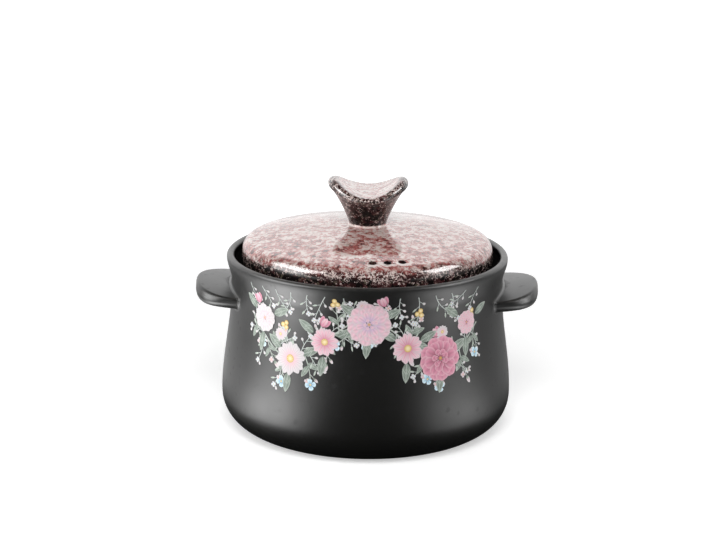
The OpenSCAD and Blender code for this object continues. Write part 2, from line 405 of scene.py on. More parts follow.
@dataclass(frozen=True)
class BlackGlaze:
    """Satin black glaze that is wiped off the foot, where the clay shows."""

    glaze: Triple = tone(17, 17, 16)
    # Worn glaze on the edges; on the lip's crest its paler grey is also a painted highlight line.
    worn_and_highlight: Triple = tone(52, 47, 43)
    clay: Triple = tone(136, 117, 98)
    clay_dark: Triple = tone(99, 82, 68)
    # Painted shade: the matt black that stands for the shade in the gap between lip and lid.
    painted_gap_shade: Triple = tone(14, 13, 13)
    sheen: float = 0.4
    cloud_sheen: float = 0.1
    pit_sheen: float = 0.08
    index: float = 1.8
    clay_roughness: float = 0.9
    cloud_size: float = 22
    grain_size: float = 1.1
    grain_depth: float = 0.02
    pit_size: float = 2.6
    pit_share: float = 0.6
    wave_size: float = 9
    wave_depth: float = 0.05
    sand_size: float = 0.8
    worn_and_highlight_size: float = 7

    def material(self) -> bpy.types.Material:
        """Makes the finish from the paint of bare clay, worn edges and the gap's painted shade.

        The bare clay has a ragged edge and the worn glaze comes in patches, which on the lip's
        crest are also a painted highlight. Where the gap's shade is painted it is matt black.

        Returns:
            The material.
        """
        made = bpy.data.materials.new("black_glaze")
        web = Web(made)
        place = web.place()
        cloud = web.noise(place, self.cloud_size, 4)
        grain = web.noise(place, self.grain_size, 2)
        pits = web.grains(place, self.pit_size).within(0.965, 0.99)
        ragged = (web.noise(place, 5, 3) - 0.5) * 0.5
        bare = (web.painted("bare") + ragged).within(0.42, 0.58)
        # Worn edges: worn glaze, and on the lip's crest also a painted highlight line.
        edge = web.painted("edge") * web.noise(place, self.worn_and_highlight_size, 3).within(0.3, 0.75)
        sand = web.noise(place, self.sand_size, 5).within(0.35, 0.7)
        clay = web.blend(sand, self.clay_dark, self.clay)
        glaze = web.blend(edge, self.glaze, self.worn_and_highlight)
        roughness = self.sheen + self.cloud_sheen * (cloud - 0.5) + self.pit_sheen * pits
        wave = web.bumped(web.noise(place, self.wave_size, 2), self.wave_depth)
        # Painted shade: a matt black mixed in where the gap's shade is painted.
        matt = web.node("BsdfDiffuse", None, {"Color": self.painted_gap_shade})
        web.finish({
            "Base Color": web.blend(bare, glaze, clay),
            "Roughness": roughness + bare * (self.clay_roughness - self.sheen),
            "Normal": web.bumped(grain - self.pit_share * pits, self.grain_depth, wave),
            "IOR": self.index,
        }, web.painted("painted_gap_shade"), matt)
        return made


@dataclass(frozen=True)
class PinkGlaze:
    """Glossy mottled glaze: pink, white and brick red, broken by black where it runs thin."""

    black: Triple = tone(20, 15, 15)
    maroon: Triple = tone(56, 29, 30)
    brick: Triple = tone(124, 60, 58)
    salmon: Triple = tone(164, 88, 84)
    pink: Triple = tone(184, 134, 128)
    dusk: Triple = tone(124, 90, 88)
    milk: Triple = tone(212, 196, 190)
    olive: Triple = tone(96, 88, 74)
    clay: Triple = tone(136, 117, 98)
    sheen: float = 0.05
    thin_sheen: float = 0.15
    bare_sheen: float = 0.75
    index: float = 2.1
    grain_sizes: Triple = (3.6, 2.1, 0.9)
    cloud_size: float = 8
    swirl: float = 2.2
    swirl_size: float = 2.4
    fleck_size: float = 1.6
    fleck_share: float = 0.6
    wave_size: float = 14
    wave_depth: float = 0.12
    peel_size: float = 2.2
    peel_depth: float = 0.015
    # Painted reflection: towards the lid's left and right along X the glaze is painted paler.
    painted_reflection_x: Pair = (60, 98)
    side_painted_reflection: float = 0.35
    matt_from: Pair = (0.85, 1.08)
    matt_share: float = 0.85
    # Painted shade: the thin values at which the steam holes' bores turn matt black.
    bore_shade_from: Pair = (2.2, 2.8)

    def speckle(self, web: Web, place: Wire, thin: Wire) -> Wire:
        """The glaze's colour.

        Where the glaze is thick it comes from a ramp over specks and clouds. Where it is thin
        it breaks into pale specks on black. A few flecks are olive.

        Args:
            web: The material's nodes.
            place: The point on the object.
            thin: How thin the glaze is, from 0 up.

        Returns:
            The wire of the colour.
        """
        wander = web.noise(place, self.swirl_size, 3, "Color")
        shift = web.node("VectorMath", {"operation": "SCALE"}, {0: wander, "Scale": self.swirl})
        bent = web.node("VectorMath", {"operation": "ADD"}, {0: place, 1: shift})
        coarse, middle, small = (web.grains(bent, size) - 0.5 for size in self.grain_sizes)
        speck = 0.45 * coarse + 0.43 * middle + 0.12 * small
        cloud = web.noise(place, self.cloud_size, 6) - 0.5
        # Milky paint lightens the glaze; at the steam holes' front edges and the knob's foot it is
        # a painted highlight.
        shade = 0.53 + speck + 1.4 * cloud - 0.15 * thin + 0.3 * web.painted("milky_and_highlight")
        film = web.node("ValToRGB", {"stops": [
            (0.06, self.maroon), (0.26, self.brick), (0.42, self.salmon), (0.58, self.pink),
            (0.8, self.milk),
        ]}, {0: shade})
        dark = web.blend(coarse.within(0, 0.4), self.black, self.maroon)
        pale = (small + 0.4 - 0.62 * thin).within(-0.25, 0.5)
        light = web.blend(pale, self.dusk, self.milk)
        crumb = 0.15 * coarse + 0.45 * middle + 0.4 * small
        kept = (crumb + 0.3 * cloud + 0.2 - 0.43 * thin).within(-0.09, 0.11)
        broken = web.blend(kept, dark, light)
        colour = web.blend((thin + 0.8 * speck).within(0.15, 0.6), film, broken)
        fleck = web.grains(bent, self.fleck_size).within(0.86, 0.9)
        fleck = fleck * web.noise(place, 6, 2).within(0.4, 0.6)
        return web.blend(self.fleck_share * fleck, colour, self.olive)

    def material(self) -> bpy.types.Material:
        """Makes the finish, which reads the paint of thin glaze, of bare clay and of milky glaze,
        which at the steam holes and the knob's foot is a painted highlight.

        Towards the lid's left and right along X the glaze is painted paler, a painted reflection of
        the light at its sides. Where the glaze is thinnest most of its mirror gives way to a matt
        face. In the steam holes, where thin is past every other value, it is all matt and near
        black: painted shade in the bores.

        Returns:
            The material.
        """
        made = bpy.data.materials.new("pink_glaze")
        web = Web(made)
        place = web.place()
        # Painted reflection: the lid's left and right along X are painted as thicker, paler glaze.
        beside = web.part(place, "X").unsigned().within(*self.painted_reflection_x)
        thin = web.painted("thin") - self.side_painted_reflection * beside
        bare = web.painted("bare")
        covered = web.blend(bare, self.speckle(web, place, thin), self.clay)
        wave = web.bumped(web.noise(place, self.wave_size, 1), self.wave_depth)
        gloss = self.sheen + 0.03 * web.noise(place, 5, 2) + self.thin_sheen * thin.within(0, 1)
        matt = web.node("BsdfPrincipled", None, {
            "Base Color": covered,
            "Roughness": 1.0,
            "Specular IOR Level": 0.0,
        })
        thinnest = self.matt_share * thin.within(*self.matt_from)
        # Painted shade: in the steam holes' bores the matt face is near black.
        web.finish({
            "Base Color": covered,
            "Roughness": gloss + self.bare_sheen * bare,
            "Normal": web.bumped(web.noise(place, self.peel_size, 2), self.peel_depth, wave),
            "IOR": self.index,
        }, thin.within(*self.bore_shade_from).most(thinnest), matt)
        return made


@dataclass(frozen=True)
class PrintInk:
    """The fired colours of the printed flowers."""

    pale: Triple = tone(250, 246, 244)
    sheen: float = 0.5
    index: float = 1.3
    wash_size: float = 1.6
    wash_share: float = 0.14
    wash_depth: float = 0.015

    def material(self) -> bpy.types.Material:
        """Makes the finish, which reads the paint named ink and lightens it in a fine wash.

        Returns:
            The material.
        """
        made = bpy.data.materials.new("print_ink")
        web = Web(made)
        place = web.place()
        wash = web.noise(place, self.wash_size, 3)
        ink = web.painted("ink", "Color")
        web.finish({
            "Base Color": web.blend(self.wash_share * wash, ink, self.pale),
            "Roughness": self.sheen + 0.1 * wash,
            "Normal": web.bumped(wash, self.wash_depth),
            "IOR": self.index,
        })
        return made


@dataclass
class Pot:
    """The pot: one turned stoneware shell with a foot, a lip and a ledge for the lid."""

    belly_r: float
    height: float
    belly_swell: float = 7.9
    belly_h: float = 28.3
    neck_drop: float = 27
    wall_t: float = 6.5
    floor_t: float = 6.5
    lip_r: float = 3
    lip_proud: float = 3.6
    flare_drop: float = 19.5
    foot_inset: float = 29
    heel_squareness: float = 2.1
    foot_ring_w: float = 8
    foot_recess: float = 1.5
    foot_edge_r: float = 0.7
    gallery_depth: float = 7
    ledge_w: float = 10.5
    ledge_t: float = 4
    ledge_back: float = 8
    ledge_edge_r: float = 1.2
    corner_r: float = 1
    bare_h: float = 1.6
    bare_fade: float = 1
    # Worn glaze on the lip's crest, which is also a painted highlight line there.
    worn_and_highlight_lip_h: float = 1.2
    worn_ledge: float = 2
    # Painted shade in the gap between the lip and the lid: how far it reaches in, down and up.
    gap_shade_in: float = 0.9
    gap_shade_low: float = 3
    gap_shade_high: float = 1.6
    sides: int = 240

    @classmethod
    def from_frame(cls) -> "Pot":
        """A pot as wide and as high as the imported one."""
        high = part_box("pot_body")[1] / MM
        return cls(belly_r=high.x, height=high.z)

    def __post_init__(self) -> None:
        """Works out the radii and heights that follow from the sizes."""
        self.neck_r = self.belly_r - self.belly_swell
        self.rim_r = self.neck_r + self.lip_proud
        self.foot_r = self.belly_r - self.foot_inset
        self.lip_z = self.height - self.lip_r
        self.neck_z = self.height - self.neck_drop
        self.flare_z = self.height - self.flare_drop
        self.floor_z = self.foot_recess + self.floor_t
        self.gallery_r = self.rim_r - 2 * self.lip_r
        self.ledge_in_r = self.gallery_r - self.ledge_w
        self.seat_z = self.height - self.gallery_depth
        self.ledge_root_z = self.seat_z - self.ledge_t - self.ledge_back

    def wall_r(self, z: Array) -> Array:
        """Outer radius, which eases in from the belly to the neck and out again to the lip.

        Args:
            z: Heights from the belly up to the lip.

        Returns:
            The radius at each height.
        """
        draw = ease((z - self.belly_h) / (self.neck_z - self.belly_h))
        flare = ease((z - self.flare_z) / (self.lip_z - self.flare_z))
        return self.belly_r - self.belly_swell * draw + self.lip_proud * flare

    def heel(self, in_r: float, low_z: float) -> Array:
        """A quarter of a superellipse, from its flat bottom to its upright side.

        The radius goes with sin(a) ** (2 / n) and the height with 1 - cos(a) ** (2 / n), where
        n is the heel's squareness.

        Args:
            in_r: Radius at which it starts.
            low_z: Height at which it starts.

        Returns:
            Radius and height of each point.
        """
        a = np.linspace(0, HALF_TURN / 2, 33)
        p = 2 / self.heel_squareness
        r = in_r + self.foot_inset * np.sin(a) ** p
        z = low_z + (self.belly_h - low_z) * (1 - np.cos(a) ** p)
        return np.stack([r, z], axis=1)

    def outline(self) -> Array:
        """Half of the pot's section, from under the foot, over the lip and down to the floor.

        Returns:
            Radius and height of each point.
        """
        ring_r = self.foot_r - self.foot_ring_w
        soft = self.foot_edge_r
        foot = joined(
            line((0, self.foot_recess), (ring_r - soft, self.foot_recess), 24),
            arc((ring_r - soft, self.foot_recess - soft), soft, 90, 0, 4),
            arc((ring_r + soft, soft), soft, 180, 270, 4),
            line((ring_r + soft, 0), (self.foot_r, 0), 3),
        )
        up = np.linspace(self.belly_h, self.lip_z, 96)
        inner = np.linspace(self.belly_h, self.ledge_root_z, 60)
        edge, corner = self.ledge_edge_r, self.corner_r
        corner_r, corner_z = self.gallery_r - corner, self.seat_z + corner
        edge_r = self.ledge_in_r + edge
        ledge = joined(
            line((self.gallery_r, self.lip_z), (self.gallery_r, corner_z), 4),
            arc((corner_r, corner_z), corner, 0, -90, 5),
            line((corner_r, self.seat_z), (edge_r, self.seat_z), 6),
            arc((edge_r, self.seat_z - edge), edge, 90, 180, 5),
            arc((edge_r, self.seat_z - self.ledge_t + edge / 2), edge, 180, 230, 4),
        )
        root_r = self.wall_r(self.ledge_root_z) - self.wall_t
        back = line(tuple(ledge[-1]), (root_r, self.ledge_root_z), 8)
        side = np.stack([self.wall_r(inner) - self.wall_t, inner], axis=1)[::-1]
        bowl = self.heel(self.belly_r - self.wall_t - self.foot_inset, self.floor_z)[::-1]
        floor = line(tuple(bowl[-1]), (0, self.floor_z), 24)
        lip = arc((self.rim_r - self.lip_r, self.lip_z), self.lip_r, 0, 180, 20)
        wall = np.stack([self.wall_r(up), up], axis=1)
        return joined(foot, self.heel(self.foot_r, 0), wall, lip, ledge, back, side, bowl, floor)

    def build(self, finish: bpy.types.Material) -> bpy.types.Object:
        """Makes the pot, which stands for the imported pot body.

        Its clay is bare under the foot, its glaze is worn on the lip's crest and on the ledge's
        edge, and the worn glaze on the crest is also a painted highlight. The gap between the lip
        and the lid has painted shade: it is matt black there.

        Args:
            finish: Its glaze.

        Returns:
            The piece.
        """
        outline = self.outline()
        r, z = outline.T
        # The lip's crest: worn glaze that is also a painted highlight line.
        crest = ease((z - self.lip_z - self.worn_and_highlight_lip_h) / (self.lip_r - self.worn_and_highlight_lip_h))
        ledge = ease(1 - np.hypot(r - self.ledge_in_r, z - self.seat_z) / self.worn_ledge)
        # Painted shade: matt black inside the gallery, between the seat and the lip, where the gap
        # lies in shade.
        inside = ease((self.gallery_r + self.gap_shade_in - r) / self.gap_shade_in)
        over_seat = ease((z - self.seat_z + self.gap_shade_low) / 2)
        under_lip = ease((self.lip_z + self.gap_shade_high - z) / self.gap_shade_high)
        shape = turned(outline, self.sides, {
            "bare": 1 - ease((z - self.bare_h + self.bare_fade) / (2 * self.bare_fade)),
            "edge": np.clip(crest + ledge, 0, 1),
            "painted_gap_shade": inside * over_seat * under_lip,
        })
        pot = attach(shape.piece("pot", finish), "pot")
        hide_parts("pot_body")
        return pot


@dataclass
class Lug:
    """A solid lug handle with soft edges and a bead of slip round its root."""

    pot: Pot
    tip_x: float
    half_w: float
    bottom_z: float
    thickness: float = 11
    crown: float = 0.3
    rise: float = 3
    sag: float = 3.6
    top_edge_r: float = 1.8
    keel_edge_r: float = 6.8
    squareness: float = 2.2
    keel_squareness: float = 3.8
    slip_t: float = 0.03
    sunk: float = 1.5
    bead_r: float = 2.2
    bead_in: float = 0.6
    bead_depth: float = 0.8
    bead_steps: int = 220
    worn_from: float = 0.8
    worn_share: float = 0.5

    @classmethod
    def from_frame(cls, pot: Pot) -> "Lug":
        """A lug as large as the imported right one."""
        low, high = (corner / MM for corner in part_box("lug_handle_right"))
        return cls(pot=pot, tip_x=high.x, half_w=high.y, bottom_z=low.z)

    def __post_init__(self) -> None:
        """Works out the reach and the height of the top."""
        self.reach = self.tip_x - self.pot.neck_r
        self.top_z = self.bottom_z + self.thickness

    def layers(self) -> tuple[Array, Array]:
        """The outlines' places: in under the lug, up its edges and in over its crown.

        Returns:
            The height and the inset of each.
        """
        face = np.linspace(0, 1, 9)[1:]
        turn = np.radians(np.linspace(-90, 0, 12))
        low = self.bottom_z + self.keel_edge_r * (1 + np.sin(turn))
        high = self.top_z - self.top_edge_r * (1 + np.sin(turn))
        crowned = self.top_z + self.crown * face * (2 - face)
        heights = np.concatenate([np.full(len(face), self.bottom_z), low, high[::-1], crowned])
        under = self.keel_edge_r + (self.reach / 2 - self.keel_edge_r) * face[::-1]
        over = self.top_edge_r + (self.reach / 2 - self.top_edge_r) * face
        draw = 1 - np.cos(turn)
        insets = [under, self.keel_edge_r * draw, self.top_edge_r * draw[::-1], over]
        return heights, np.concatenate(insets)

    def level(self, y: Array, z: Array) -> Array:
        """Height of a layer along the wall: the top falls by sag * ((y / half width)^2 - 1 / 2)."""
        share = ease((z - self.bottom_z) / self.thickness)
        return z - self.sag * share * ((y / self.half_w) ** 2 - 0.5)

    def root_r(self, y: Array, z: Array) -> Array:
        """Radius at which a layer meets the wall."""
        return self.pot.wall_r(self.level(y, z)) + self.slip_t

    def lifted(self, x: Array, y: Array, z: Array) -> Array:
        """Points at their layer's level, raised in step with their distance from the wall."""
        out = np.hypot(x, y) - self.root_r(y, z)
        return np.stack([x, y, self.level(y, z) + self.rise * out / self.reach], axis=-1)

    def body(self) -> Shape:
        """The lug itself, as a stack of outlines.

        In plan each outline is half a superellipse: at a direction d from its middle its reach
        is cos d and its width sin d, over (|cos d| ** n + |sin d| ** n) ** (1 / n). The
        squareness n falls from the underside to the top. Along the wall the outline runs a
        little inside the clay.

        Returns:
            The closed shape.
        """
        z, inset = (part[:, None] for part in self.layers())
        half = self.half_w - inset
        root = np.sqrt(self.root_r(half, z) ** 2 - half**2)
        reach = self.pot.neck_r + self.reach - inset - root
        up = (z - self.bottom_z) / (self.thickness + self.crown)
        n = self.keel_squareness + (self.squareness - self.keel_squareness) * up
        d = np.radians(np.linspace(-90, 90, 121))[None, :]
        size = (np.abs(np.cos(d)) ** n + np.abs(np.sin(d)) ** n) ** (1 / n)
        free = self.lifted(root + reach * np.cos(d) / size, half * np.sin(d) / size, z + 0 * d)
        across = half * np.linspace(1, -1, 31)[None, :]
        hidden_r = self.root_r(across, z) - self.sunk
        hidden = self.lifted(np.sqrt(hidden_r**2 - across**2), across, z + 0 * across)
        rings = np.concatenate([free, hidden], axis=1)
        middle_x = self.pot.neck_r + self.reach / 4
        heights = np.array([self.bottom_z, self.top_z + self.crown])
        poles = self.lifted(np.full(2, middle_x), np.zeros(2), heights)
        return Shape(np.concatenate([rings.reshape(-1, 3), poles]), capped_faces(*rings.shape[:2]))

    def root_path(self, count: int) -> Array:
        """The closed line where the lug meets the wall.

        Args:
            count: How many points it has.

        Returns:
            Distance along the wall and height of each point, at even steps.
        """
        z, inset = self.layers()
        half = self.half_w - inset
        across = np.linspace(1, -1, 17)[1:-1]
        y = np.concatenate([half, half[-1] * across, -half[::-1], -half[0] * across, half[:1]])
        flat = np.ones(len(across))
        z = np.concatenate([z, z[-1] * flat, z[::-1], z[0] * flat, z[:1]])
        r = self.root_r(y, z) - self.slip_t
        path = np.stack([r * np.arcsin(y / r), self.level(y, z)], axis=1)
        run = np.concatenate([[0], np.cumsum(np.linalg.norm(np.diff(path, axis=0), axis=1))])
        at = np.linspace(0, run[-1], count, endpoint=False)
        return np.stack([np.interp(at, run, path[:, 0]), np.interp(at, run, path[:, 1])], axis=1)

    def on_wall(self, spots: Array, depth: float = 0) -> Array:
        """Lays flat places on the wall.

        Args:
            spots: Distance along the wall and height of each.
            depth: How far they are sunk in it.

        Returns:
            The points.
        """
        wall_r = self.pot.wall_r(spots[:, 1])
        turn, r = spots[:, 0] / wall_r, wall_r - depth
        return np.stack([r * np.cos(turn), r * np.sin(turn), spots[:, 1]], axis=1)

    def bead(self) -> Shape:
        """A fillet of slip round the root.

        Its section is the curve (1 - t)^2 A + 2 t (1 - t) J + t^2 B, from A on the wall to B on
        the lug, past the corner J where they meet. Its back lies inside the clay.

        Returns:
            The closed shape.
        """
        path = self.root_path(self.bead_steps)
        along = np.roll(path, -2, axis=0) - np.roll(path, 2, axis=0)
        along /= np.linalg.norm(along, axis=1)[:, None]
        out = np.stack([along[:, 1], -along[:, 0]], axis=1)
        foot = path + self.bead_r * out
        corner = self.on_wall(path)
        wall_end = self.on_wall(foot)
        lug_end = corner + self.bead_r * np.array([1, 0, self.rise / self.reach])
        t = np.linspace(0, 1, 9)[:, None, None]
        curve = (1 - t) ** 2 * wall_end + 2 * t * (1 - t) * corner + t**2 * lug_end
        inner = path - self.bead_in * out
        back = [lug_end + (self.on_wall(inner) - corner), self.on_wall(inner, self.bead_depth),
                self.on_wall(foot, self.bead_depth)]
        rings = np.concatenate([curve, np.stack(back)])
        sections, count = rings.shape[:2]
        faces = grid_faces(sections + 1, count, closed=True) % (sections * count)
        return Shape(rings.reshape(-1, 3), faces.tolist())

    def build(self, name: str, node: str, mirrored: bool,
              finish: bpy.types.Material) -> bpy.types.Object:
        """Makes a lug with its bead. Its glaze is a little worn along the top's rim.

        Args:
            name: The piece's name.
            node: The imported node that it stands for.
            mirrored: Whether it is the left one.
            finish: Its glaze.

        Returns:
            The piece.
        """
        shape = self.body().plus(self.bead())
        if mirrored:
            shape.points = shape.points * [-1, 1, 1]
        high = shape.points[:, 2] > self.top_z - self.top_edge_r
        out = (np.abs(shape.points[:, 0]) - self.pot.neck_r) / self.reach
        rim = np.hypot(out, shape.points[:, 1] / self.half_w)
        worn_and_highlight = self.worn_share * high * ease((rim - self.worn_from) / (1 - self.worn_from))
        shape.paint = {"edge": worn_and_highlight, "bare": 0 * rim, "painted_gap_shade": 0 * rim}
        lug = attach(shape.piece(name, finish), "pot")
        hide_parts(node)
        return lug


@dataclass
class Lid:
    """The lid: a shallow turned dome with a round shoulder, a skirt and steam holes."""

    edge_r: float
    skirt_z: float
    rise: float = 29.3
    crown: float = 12.7
    shoulder_r: float = 10
    thickness: float = 6.5
    foot_r: float = 1.5
    skirt_depth: float = 7
    skirt_t: float = 4.5
    skirt_inset: float = 5.5
    soft_r: float = 1.1
    hollow_r: float = 3
    steam_d: float = 5.4
    steam_n: int = 3
    steam_pitch: float = 11.2
    steam_inset: float = 3.9
    steam_turn: float = 10.3
    steam_edge_r: float = 0.9
    steam_sides: int = 48
    drill_over: float = 3
    # Painted shade: the thin value that turns the bores matt black.
    bore_shade_thin: float = 3
    # Painted highlight: a pale crescent of milky glaze at the front edge of each steam hole.
    hole_glint_w: float = 4
    hole_glint_milky: float = 2
    shoulder_thin: float = 0.54
    band_thin: float = 0.6
    neck_thin: float = 0.2
    under_thin: float = 0.1
    crown_milky: float = 0.35
    sides: int = 240

    @classmethod
    def from_frame(cls) -> "Lid":
        """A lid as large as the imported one."""
        low, high = (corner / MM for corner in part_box("lid_shell"))
        return cls(edge_r=high.x, skirt_z=low.z)

    def __post_init__(self) -> None:
        """Works out the dome and the skirt."""
        self.seat_z = self.skirt_z + self.skirt_depth
        self.dome_r = (self.edge_r**2 + self.crown**2) / (2 * self.crown)
        self.dome_z = self.seat_z + self.rise - self.dome_r
        self.skirt_out_r = self.edge_r - self.skirt_inset
        self.skirt_in_r = self.skirt_out_r - self.skirt_t
        self.steam_r = self.skirt_in_r - self.steam_inset

    def top_z(self, r: Array) -> Array:
        """Height of the dome's outside at a radius: its centre plus sqrt(R^2 - r^2)."""
        return self.dome_z + np.sqrt(self.dome_r**2 - r**2)

    def outline(self) -> Array:
        """Half of the lid's section, from under the crown, round the skirt and over the dome.

        Returns:
            Radius and height of each point.
        """
        under_r = self.dome_r - self.thickness
        soft = self.soft_r
        start = self.skirt_in_r - self.hollow_r
        ceiling_lean = math.degrees(math.asin(start / under_r))
        ceiling = arc((0, self.dome_z), under_r, 90, 90 - ceiling_lean, 50)
        ceiling[0, 0] = 0
        corner_z = ceiling[-1, 1] - self.hollow_r
        skirt = joined(
            arc((start, corner_z), self.hollow_r, 75, 0, 6),
            line((self.skirt_in_r, corner_z), (self.skirt_in_r, self.skirt_z + soft), 8),
            arc((self.skirt_in_r + soft, self.skirt_z + soft), soft, 180, 270, 5),
            arc((self.skirt_out_r - soft, self.skirt_z + soft), soft, 270, 360, 5),
            line((self.skirt_out_r, self.skirt_z + soft), (self.skirt_out_r, self.seat_z), 4),
            arc((self.edge_r - self.foot_r, self.seat_z + self.foot_r), self.foot_r, -90, 0, 6),
        )
        lean = math.asin((self.edge_r - self.shoulder_r) / (self.dome_r - self.shoulder_r))
        shoulder_at = (self.edge_r - self.shoulder_r,
                       self.dome_z + (self.dome_r - self.shoulder_r) * math.cos(lean))
        turned_in = 90 - math.degrees(lean)
        shoulder = arc(shoulder_at, self.shoulder_r, 0, turned_in, 24)
        band = line(tuple(skirt[-1]), tuple(shoulder[0]), 4)
        dome = arc((0, self.dome_z), self.dome_r, turned_in, 90, 64)
        dome[-1, 0] = 0
        return joined(ceiling, skirt, band, shoulder, dome)

    def steam_places(self) -> Array:
        """Where the steam holes' axes stand, evenly apart on a circle.

        Returns:
            One row of x and y for each.
        """
        step = 2 * math.asin(self.steam_pitch / (2 * self.steam_r))
        from_middle = np.arange(self.steam_n) - (self.steam_n - 1) / 2
        turn = math.radians(self.steam_turn) + from_middle * step
        return self.steam_r * np.stack([np.sin(turn), -np.cos(turn)], axis=1)

    def steam_cutter(self) -> Shape:
        """A drill for each steam hole, which flares out to follow the dome.

        Its section is the straight hole and, at the dome's outside, nearly a quarter of a circle
        of the edge's radius. Each of its points is then raised by the dome's height there.

        Returns:
            The drills as one shape.
        """
        r = self.steam_d / 2
        flare = self.steam_edge_r
        foot = -3 * self.thickness
        mouth, top = (r + 0.85 * flare, 0.05), (r + 0.9 * flare, self.drill_over)
        profile = joined(
            line((0, foot), (r, foot), 2),
            line((r, foot), (r, -flare), 6),
            arc((r + flare, -flare), flare, 180, 100, 8),
            line(mouth, top, 2),
            line(top, (0, self.drill_over), 2),
        )
        drills = []
        for place in self.steam_places():
            drill = turned(profile, self.steam_sides)
            drill.points[:, :2] += place
            drill.points[:, 2] += self.top_z(np.hypot(drill.points[:, 0], drill.points[:, 1]))
            drills.append(drill)
        return reduce(Shape.plus, drills)

    def paint_steam_holes(self, mesh: bpy.types.Mesh) -> None:
        """Paints the holes black inside, and a painted highlight of milky glaze at their front
        edge, the side towards -Y.

        In a bore thin is past every value elsewhere, and there the finish is matt black, as painted
        shade.

        Args:
            mesh: The drilled lid's mesh.
        """
        spots = np.empty(3 * len(mesh.vertices))
        mesh.vertices.foreach_get("co", spots)
        x, y, z = spots.reshape(-1, 3).T / MM
        apart = np.stack([x, y], axis=1)[:, None] - self.steam_places()[None]
        off = np.linalg.norm(apart, axis=2)
        nearest = off.argmin(axis=1)
        off, forward = off.min(axis=1), -apart[np.arange(len(x)), nearest, 1]
        depth = self.top_z(np.minimum(np.hypot(x, y), self.edge_r)) - z
        mouth_r = self.steam_d / 2 + self.steam_edge_r
        # Painted shade: the bores are marked to go matt black.
        painted_bore_shade = (off < mouth_r) * ease((depth - 0.15) / 0.5)
        # Painted highlight: milky glaze at each hole's front edge, towards -Y.
        painted_hole_glint = ease((mouth_r + self.hole_glint_w - off) / 3) * (depth < 0.2) * ease(forward / mouth_r)
        for label, values in (("thin", self.bore_shade_thin * painted_bore_shade), ("milky_and_highlight", self.hole_glint_milky * painted_hole_glint)):
            layer = mesh.attributes[label].data
            before = np.empty(len(x), dtype=np.float32)
            layer.foreach_get("value", before)
            layer.foreach_set("value", np.maximum(before, values).astype(np.float32))

    def thinness(self, r: Array, z: Array) -> Array:
        """How thin the glaze runs: most on the band and the shoulder, and a little by the knob.

        Args:
            r: Radii of places on the outside.
            z: Their heights.

        Returns:
            0 where it is thick, and up to 1.2 where it is thin.
        """
        shoulder = self.shoulder_thin * ease((r - self.edge_r + 9) / 9)
        band = self.band_thin * (ease((self.seat_z + 13 - z) / 8) * ease((r - 80) / 10))
        return np.clip(shoulder + band + self.neck_thin * ease((26 - r) / 10), 0, 1.2)

    def build(self, finish: bpy.types.Material) -> bpy.types.Object:
        """Makes the lid, drills it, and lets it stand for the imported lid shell.

        It is bare on the skirt and under the rim, and milky towards the crown.

        Args:
            finish: Its glaze.

        Returns:
            The piece.
        """
        outline = self.outline()
        r, z = outline.T
        skin_z = self.top_z(np.minimum(r, self.edge_r)) - 3
        outside = z > np.where(r > self.skirt_out_r, self.seat_z - 1, skin_z)
        bare = ~outside & (z < self.seat_z + 0.5)
        paint = {
            "thin": np.where(outside, self.thinness(r, z), self.under_thin),
            "milky_and_highlight": self.crown_milky * ease((self.edge_r - 14 - r) / 40) * outside,
            "bare": bare.astype(float),
        }
        lid = turned(outline, self.sides, paint).piece("lid", finish)
        drill = self.steam_cutter().piece("steam_drill", finish)
        cut = lid.modifiers.new("steam", "BOOLEAN")
        cut.operation = "DIFFERENCE"
        cut.solver = "EXACT"
        cut.object = drill
        bpy.context.view_layer.update()
        view = bpy.context.evaluated_depsgraph_get()
        drilled = bpy.data.meshes.new_from_object(lid.evaluated_get(view))
        lid.modifiers.clear()
        lid.data = drilled
        self.paint_steam_holes(drilled)
        bpy.data.objects.remove(drill)
        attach(lid, "lid")
        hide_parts("lid_shell")
        return lid


